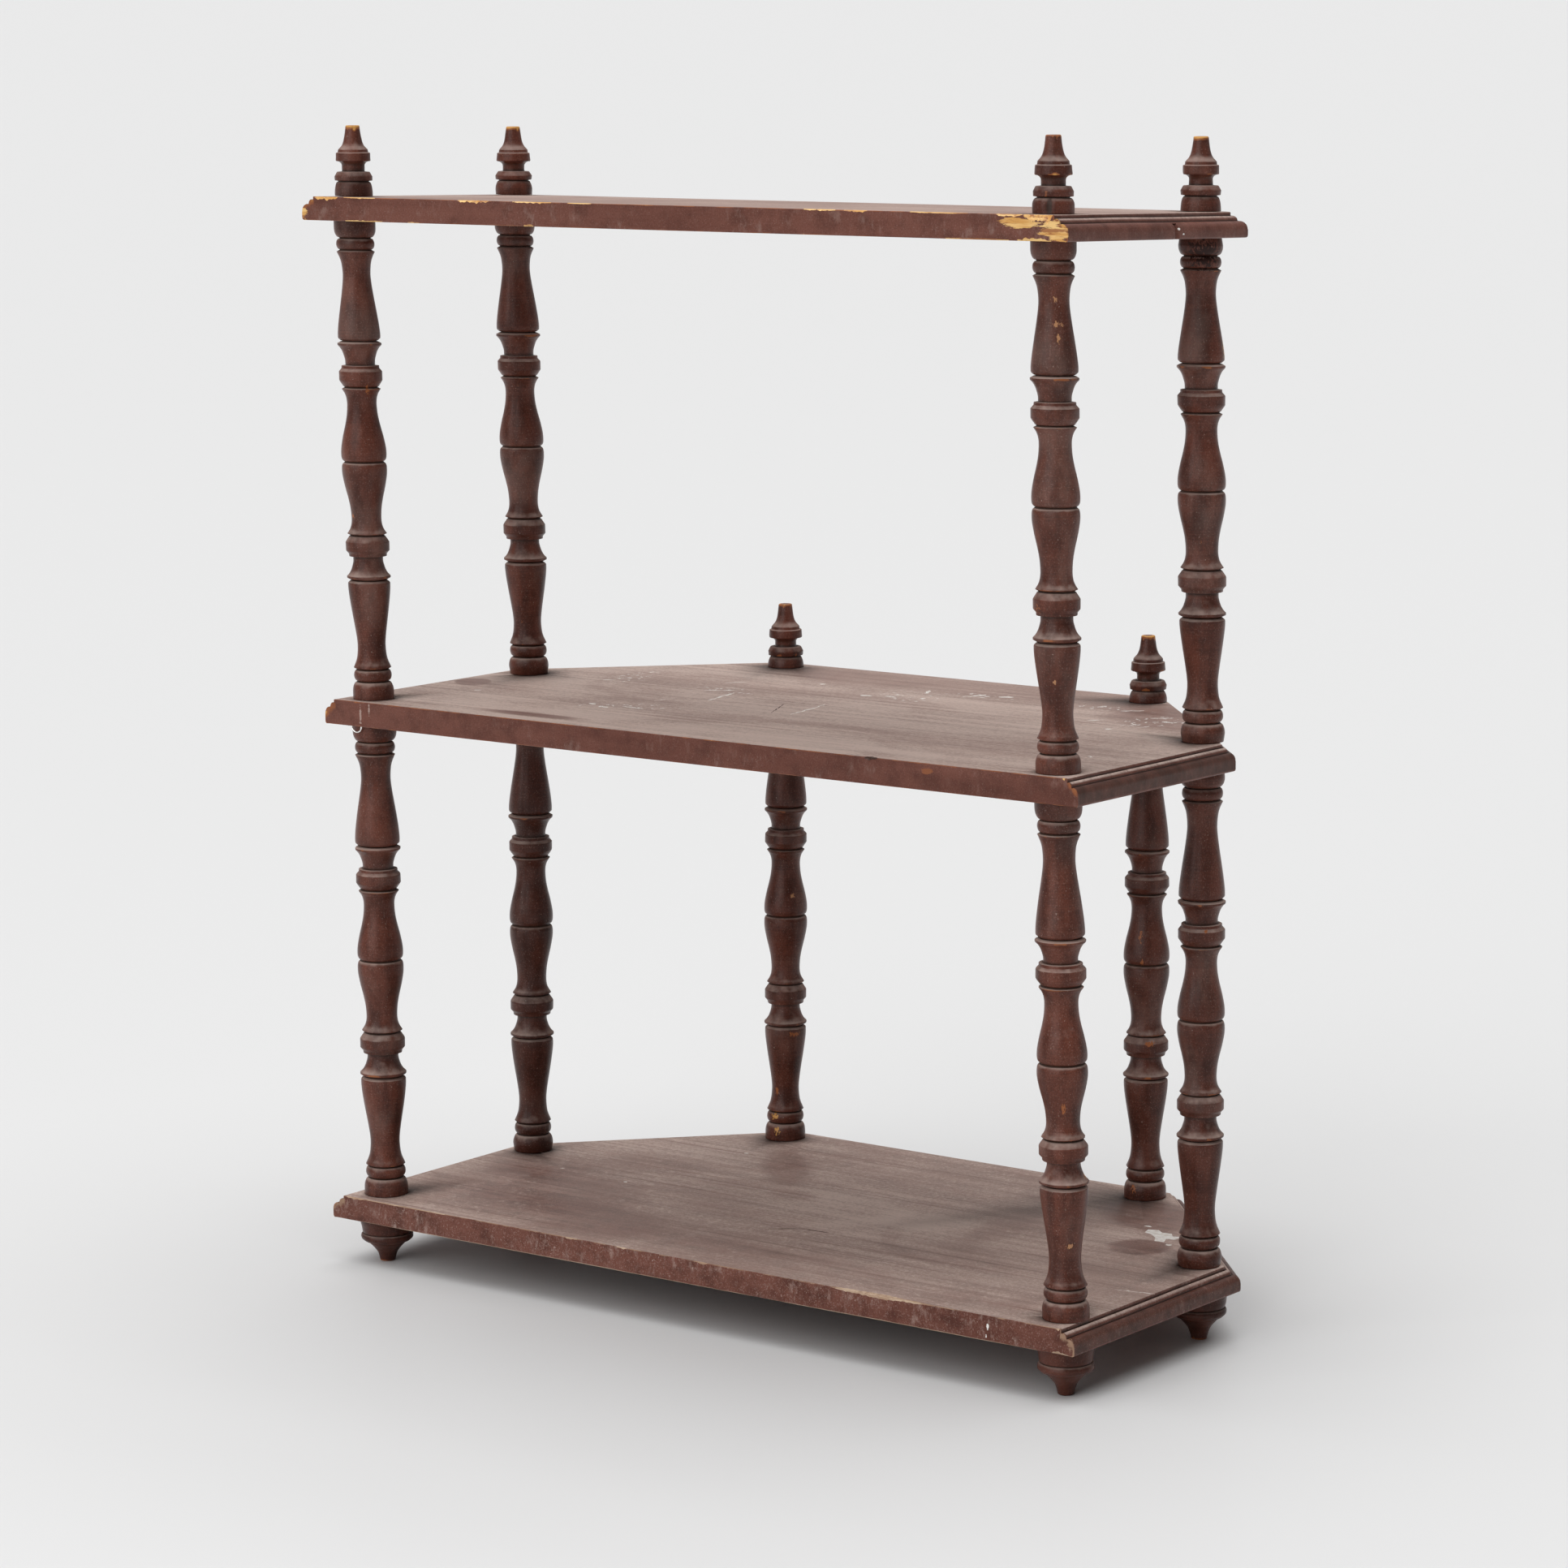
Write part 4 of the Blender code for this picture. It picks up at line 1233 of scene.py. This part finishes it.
FLECK, SCUFF, CRACK = 1, 2, 3
SPILL = [
    (-182, -64), (-188, -66), (-193, -62), (-199, -63), (-203, -58), (-209, -60), (-208, -52), (-203, -51),
    (-206, -44), (-200, -43), (-196, -50), (-190, -55), (-184, -57),
]
BOTTOM_MARKS = [
    (FLECK, (-213, -53), 5, 3, 20), (FLECK, (-178, -70), 5, 3, 0), (FLECK, (-212, -40), 5, 4, 0),
    (SCUFF, (-242, 61), (-266, 57), 1.6), (FLECK, (146, 22), 3, 2, 10), (SCUFF, (201, 17), 3, 2, 30),
    (FLECK, (132, -81), 4, 3, 0), (CRACK, (2, 65), (-12, 53), 1.1), (CRACK, (-12, 53), (-33, 51), 1.4),
]
MIDDLE_MARKS = [
    (FLECK, (223, 64), 5, 3, 40), (FLECK, (191, -17), (184, -21), 2.5), (FLECK, (127, 70), 9, 3.5, -30),
    (FLECK, (112, 76), 8, 3.5, -20), (FLECK, (106, 68), (88, 70), 2.0), (SCUFF, (105, 39), (103, 21), 1.5),
    (FLECK, (110, -16), (95, -26), 3.0), (FLECK, (80, 18), (88, -18), 2.2), (SCUFF, (81, 60), 4, 5, 0),
    (FLECK, (120, -50), (112, -60), 2.0), (FLECK, (16, -54), 8, 5, 0), (FLECK, (-8, -84), (-2, -94), 3.0),
    (FLECK, (-34, -84), (-42, -98), 3.4), (FLECK, (-57, -98), 10, 6, 20), (FLECK, (68, -80), 4, 5, 0),
    (FLECK, (-151, -44), (-159, -50), 2.2), (FLECK, (-181, -22), 5, 4, 10),
    (FLECK, (-146, -88), (-156, -97), 2.4), (FLECK, (-176, -73), (-187, -80), 2.6),
    (FLECK, (-203, -68), 4, 5, 0), (FLECK, (-240, 106), (-249, 103), 1.6), (CRACK, (17, 38), (33, 5), 1.0),
    (FLECK, (3, 38), (12, -8), 2.0), (CRACK, (66, -6), (-16, -4), 1.0),
]
FIRST_BOTTOM_MARK, FIRST_MIDDLE_MARK = 1, 10


def drawn(marks, first_seed):
    """Outline and slot of each mark."""
    outlines = []
    for seed, (slot, *shape) in enumerate(marks, first_seed):
        draw = stroke if isinstance(shape[1], tuple) else blot
        outlines.append((draw(*shape, seed), slot))
    return outlines


# Chips of the wall arris: middle and half width along X, reach over the face and down the wall, how bare.
# Cleared places: centre, radii, turn, softness of edge, and share of dust left, above 1 where it gathered.
# Patches: centre, radii, strength, and what shows or None for raw wood

def add_bottom_board(extras):
    spill = [Vector(spot) * MM for spot in SPILL]
    board = Board(
        "bottom_shelf", True, STATIONS, seed=1, breadth=1.2,
        chips=[
            (255, 8, 1.0, 1.4, 1.0), (215, 40, 0.7, 0.7, 0.6), (84, 5, 1.0, 1.2, 1.0), (45, 4, 0.8, 1.0, 1.0),
            (-15, 4, 1.0, 1.6, 1.0), (-140, 36, 4.0, 2.4, 0.75), (-266, 5, 1.4, 1.8, 0.6),
        ],
        lower_chips=[(90, 160, 0.7, 0.8, 0.7), (-150, 90, 0.8, 0.9, 0.7), (-264, 7, 1.3, 1.8, 0.6)],
        marks=[(spill, FLECK)] + drawn(BOTTOM_MARKS, FIRST_BOTTOM_MARK),
    )
    paint = board_paint(
        "bottom_paint", board.axes, dustiness=0.88, seed=3.0, speckle=0.6, worn=GREY_PINE,
        wood=(GREY_PINE, PALE_GREY_PINE),
        cleared=[
            ((-201, -26), (18, 18), 0, 0.22, 0.42), ((-165, -92), (42, 26), -35, 0.35, 0.4),
            ((-110, -16), (14, 36), 10, 0.3, 0.82), ((-52, -6), (6, 18), 10, 0.5, 0.85),
            ((-64, 30), (6, 24), 30, 0.5, 0.84), ((-90, 62), (6, 18), 60, 0.5, 0.84),
            # Round (88, -66), in front of the front_right column, the board is left darker, with less dust
            ((88, -66), (15, 44), 40, 0.6, 0.55), ((178, 70), (72, 52), 0, 0.5, 0.59),
            ((214, 18), (34, 30), 0, 0.6, 0.60), ((170, -18), (40, 26), 0, 0.7, 0.74),
            ((-150, 20), (75, 60), 0, 0.8, 0.82), ((60, 64), (110, 30), 10, 0.6, 0.90),
            # The dust gathered in the middle, round (-30, 6), is partly painted light that lifts the middle
            # shaded by the board above
            ((-30, 6), (85, 46), 0, 0.6, 1.46), ((40, -10), (16, 12), 0, 0.6, 0.72),
            ((20, -112), (130, 32), 0, 0.6, 0.79), ((150, 100), (110, 40), 0, 0.6, 0.82),
            ((-40, 118), (210, 36), 0, 0.5, 0.86), ((10, 112), (90, 13), 4, 0.6, 0.7),
        ],
        patches=[
            ((-271, 148, 35), (4, 3, 8), 0.6, GREY_PINE), ((273, 148, 38), (5, 4, 7), 0.55, TAN),
            ((-216, 148.5, 37), (1.3, 2, 4.5), 1.0, WHITE_PAINT),
            ((-215, 148.5, 31.5), (1.0, 2, 2.4), 1.0, WHITE_PAINT),
        ],
    )
    board.build([paint] + extras)


def add_middle_board(extras):
    board = Board(
        "middle_shelf", True, STATIONS, seed=2, breadth=1.0,
        chips=[
            (-135, 5.5, 3.6, 1.8, 0.0), (246, 6, 0.9, 1.2, 0.3), (60, 4, 0.8, 0.9, 0.25),
            (-266, 4, 1.0, 1.4, 0.5),
        ],
        lower_chips=[(246, 7, 0.9, 1.2, 0.0), (120, 6, 0.6, 0.7, 0.3)],
        marks=drawn(MIDDLE_MARKS, FIRST_MIDDLE_MARK),
        cant_shifts=(-6.0, 4.0),
    )
    paint = board_paint(
        "middle_paint", board.axes, dustiness=1.06, seed=8.0, speckle=0.18, worn=UNDERCOAT,
        wood=(PINE, PALE_PINE),
        cleared=[
            # The pale dust left in the wiped strip at the far edge, round (-60, -122), is partly painted
            # sheen for glossy paint reflecting at a grazing view
            ((250, 37), (11, 16), 40, 0.15, 0.40), ((-60, -122), (200, 42), 0, 0.6, 0.58),
            ((-190, -75), (50, 34), -40, 0.5, 0.55), ((0, 120), (270, 24), 0, 0.5, 1.25),
            ((126, 126), (34, 7), 0, 0.6, 0.25), ((125, 64), (50, 22), 0, 0.6, 0.86),
        ],
        patches=[
            ((245, 145.5, 341), (1.7, 3, 11), 0.5, DUST), ((238, 145.5, 344), (1.3, 3, 9), 0.5, DUST),
            # The dark patch at x -136 is painted shade in the gouge of the wall arris, with dirt
            ((-174, 145.5, 344), (7, 3, 7), 0.6, UNDERCOAT), ((-136, 143.5, 347), (4, 1.6, 1.4), 0.6, DIRT_AND_SHADE),
            ((273, 145.5, 338), (4, 4, 7), 0.25, UNDERCOAT),
        ],
        flecked=[
            ((122, 74), (12, 8), 0), ((98, 62), (26, 10), 20), ((98, -22), (20, 10), -10),
            ((183, -40), (10, 26), 15), ((-8, -66), (24, 16), -30), ((-40, -94), (24, 8), 0),
            ((-135, -94), (24, 8), 0), ((-185, -60), (16, 22), 0), ((-228, 74), (6, 6), 0),
        ],
    )
    board.build([paint] + extras)


def add_top_board(extras):
    board = Board(
        "top_shelf", False, WIDE_STATIONS, seed=3, breadth=1.25,
        chips=[
            (255, 11, 2.0, 2.6, 1.0), (228, 14, 1.2, 0.8, 1.0), (140, 14, 2.4, 1.9, 1.0),
            (95, 16, 1.5, 1.0, 1.0), (60, 10, 1.0, 0.7, 0.9), (-110, 12, 1.8, 1.2, 1.0),
            (-135, 9, 1.6, 1.4, 1.0), (-190, 22, 1.2, 0.9, 0.9), (-236, 10, 2.4, 1.8, 1.0),
            (-256, 12, 4.0, 4.6, 1.0),
        ],
        lower_chips=[
            (225, 16, 0.8, 1.1, 1.0), (186, 5, 0.8, 1.0, 1.0), (98, 4, 1.0, 1.6, 1.0),
            (-252, 12, 1.4, 2.2, 1.0), (-215, 24, 0.8, 1.0, 1.0),
        ],
        nicks=[(-1, 50, 2.2, 3.4)],
    )
    paint = board_paint(
        "top_paint", board.axes, dustiness=0.72, seed=14.0, speckle=0.25, worn=UNDERCOAT,
        wood=(PINE, PALE_PINE),
        patches=[
            ((-266, 155.5, 640), (18, 3, 11), 1.0, None), ((-242, 155.5, 644), (24, 3, 5), 1.0, None),
            ((-226, 155.5, 633), (26, 3, 3), 1.0, None), ((273, 155, 638), (8, 8, 9), 1.0, None),
            ((-273, 48, 637), (2, 3, 1.6), 1.0, WHITE_PAINT),
            ((-273, 44, 634), (2, 2, 1.4), 1.0, WHITE_PAINT),
        ],
    )
    board.build([paint] + extras)


# Camera

CAMERA_PLACE = (-1.7401, 2.3063, 0.7662)
CAMERA_RIGHT = (-0.79288, -0.60933, -0.00823)
CAMERA_UP = (0.09038, -0.13094, 0.98726)
CAMERA_FORWARD = (0.60264, -0.78203, -0.15889)
CAMERA_LENS = 113.207
CAMERA_SENSOR = 36.0
FLOOR_REACH = 1000.0


def add_camera():
    camera = bpy.data.cameras.new("camera")
    camera.sensor_width = CAMERA_SENSOR
    camera.lens = CAMERA_LENS
    camera.clip_end = 2 * FLOOR_REACH
    holder = linked("camera", camera)
    axes = Matrix((CAMERA_RIGHT, CAMERA_UP, -Vector(CAMERA_FORWARD))).transposed().to_4x4()
    holder.matrix_world = Matrix.Translation(CAMERA_PLACE) @ axes
    bpy.context.scene.camera = holder


# Bare places on the columns of each line, and one painted shadow: height, how far to the right of the middle
# as seen by the camera, half width and half height in millimetres, and what shows

COLUMN_RUBS_AND_SHADE = {
    "back_left": [
        (603, -2, 5, 3, TAN), (590, -1, 6, 3, TAN), (583, -0.5, 2, 5, TAN), (438, -11, 4, 5, UNDERCOAT),
        (398, -2.5, 2.2, 2.6, TAN), (163, 2.3, 2.2, 8, UNDERCOAT), (86, 6.2, 4.2, 3, TAN),
        (123.5, 13.5, 4.5, 3.5, TAN),
    ],
    "back_right": [(534, 2, 2, 6, UNDERCOAT), (458, -9, 3, 3, UNDERCOAT)],
    # The dark place high on the side_left column is painted shadow under the top board
    "side_left": [(620, 0, 24, 16, SHADED_PAINT), (567, 12.8, 4.5, 15, PINE), (240, 3, 3, 2, UNDERCOAT)],
    "front_left": [
        (49.5, -9, 3.5, 6, UNDERCOAT), (140, 0, 6, 3, UNDERCOAT), (205, -6, 2.5, 7, UNDERCOAT),
        (190, -5, 2, 4, UNDERCOAT),
    ],
    "front_right": [
        (49, -7, 4, 5, PINE), (58, -8, 4, 4, PINE), (74, -7, 2, 7, UNDERCOAT), (112, 4, 7, 3, UNDERCOAT),
        (201, 4, 2.6, 2.8, TAN),
    ],
}
RUBBED_RADIUS = 11.5
RUBBED_DEPTH = 9.0


def column_rubs_and_shade():
    """Centre, radii, turn and colour of each bare place and of the painted shadow, on the side of its column
    that the camera sees.
    """
    across = Vector(CAMERA_RIGHT[:2]).normalized()
    toward = -Vector(CAMERA_FORWARD[:2]).normalized()
    turn = math.degrees(math.atan2(across.y, across.x))
    rubs_and_shade = []
    for station, places in COLUMN_RUBS_AND_SHADE.items():
        for height, sideways, width, tall, bare in places:
            out = math.sqrt(max(0.0, RUBBED_RADIUS ** 2 - sideways ** 2))
            spot = Vector(COLUMN_AXES[station]) / MM + across * sideways + toward * out
            rubs_and_shade.append(((*spot, height), (width, RUBBED_DEPTH, tall), turn, bare))
    return rubs_and_shade


# Floor and light

FLOOR_COLOUR = (0.70, 0.70, 0.70)
FLOOR_ROUGHNESS = 0.5
FLOOR_SPECULAR = 0.25
BACKGROUND = (0.815, 0.815, 0.82)
FILL = (1.0, 1.0, 1.0)
FILL_STRENGTH = 0.090
REFLECTED_SHARE = 0.40
# Direction, strength and spread in degrees of each lamp
LAMPS = {"overhead": ((-0.05, 0.05, -1.0), 3.0, 75), "key": ((-0.12, -1.15, -0.60), 1.40, 60)}


def add_floor():
    mesh = bpy.data.meshes.new("floor")
    corners = [(-1, -1), (1, -1), (1, 1), (-1, 1)]
    mesh.from_pydata([(x * FLOOR_REACH, y * FLOOR_REACH, 0.0) for x, y in corners], [], [(0, 1, 2, 3)])
    look = Look("floor")
    look.set("Base Color", FLOOR_COLOUR)
    look.set("Roughness", FLOOR_ROUGHNESS)
    look.set("Specular IOR Level", FLOOR_SPECULAR)
    mesh.materials.append(look.material)
    linked("floor", mesh)


def add_world():
    """Dim even light from all round, and the background that the camera sees and gloss partly mirrors."""
    world = bpy.data.worlds.new("studio")
    bpy.context.scene.world = world
    world.use_nodes = True
    world.node_tree.nodes.clear()
    nodes = Nodes(world.node_tree)
    path = nodes.node("LightPath", {})
    mirrored = nodes.most(path["Is Glossy Ray"], path["Is Transmission Ray"])
    shown = nodes.most(path["Is Camera Ray"], nodes.times(mirrored, REFLECTED_SHARE))
    fill = nodes.node("Background", {"Color": FILL, "Strength": FILL_STRENGTH})[0]
    seen = nodes.node("Background", {"Color": BACKGROUND})[0]
    chosen = nodes.node("MixShader", {0: shown, 1: fill, 2: seen})[0]
    nodes.node("OutputWorld", {"Surface": chosen})


def add_lamps():
    for name, (toward, strength, spread) in LAMPS.items():
        lamp = bpy.data.lights.new(name, "SUN")
        lamp.energy = strength
        lamp.angle = math.radians(spread)
        linked(name, lamp).rotation_euler = Vector(toward).to_track_quat("-Z", "Y").to_euler()


add_camera()
add_world()
add_lamps()
add_floor()
add_columns(turned_paint("column_paint_look", 0.9, 0.80, rubs_and_shade=column_rubs_and_shade()))
add_finials(turned_paint("finial_paint_look", 0.7, 1.12))
add_feet(turned_paint("foot_paint_look", 0.6, 0.80))
spots = [fleck_paint(), scuff_paint(), crack_paint()]
add_bottom_board(spots)
add_middle_board(spots)
add_top_board(spots)
add_staple(staple_steel())
bpy.context.scene.view_settings.view_transform = "Standard"
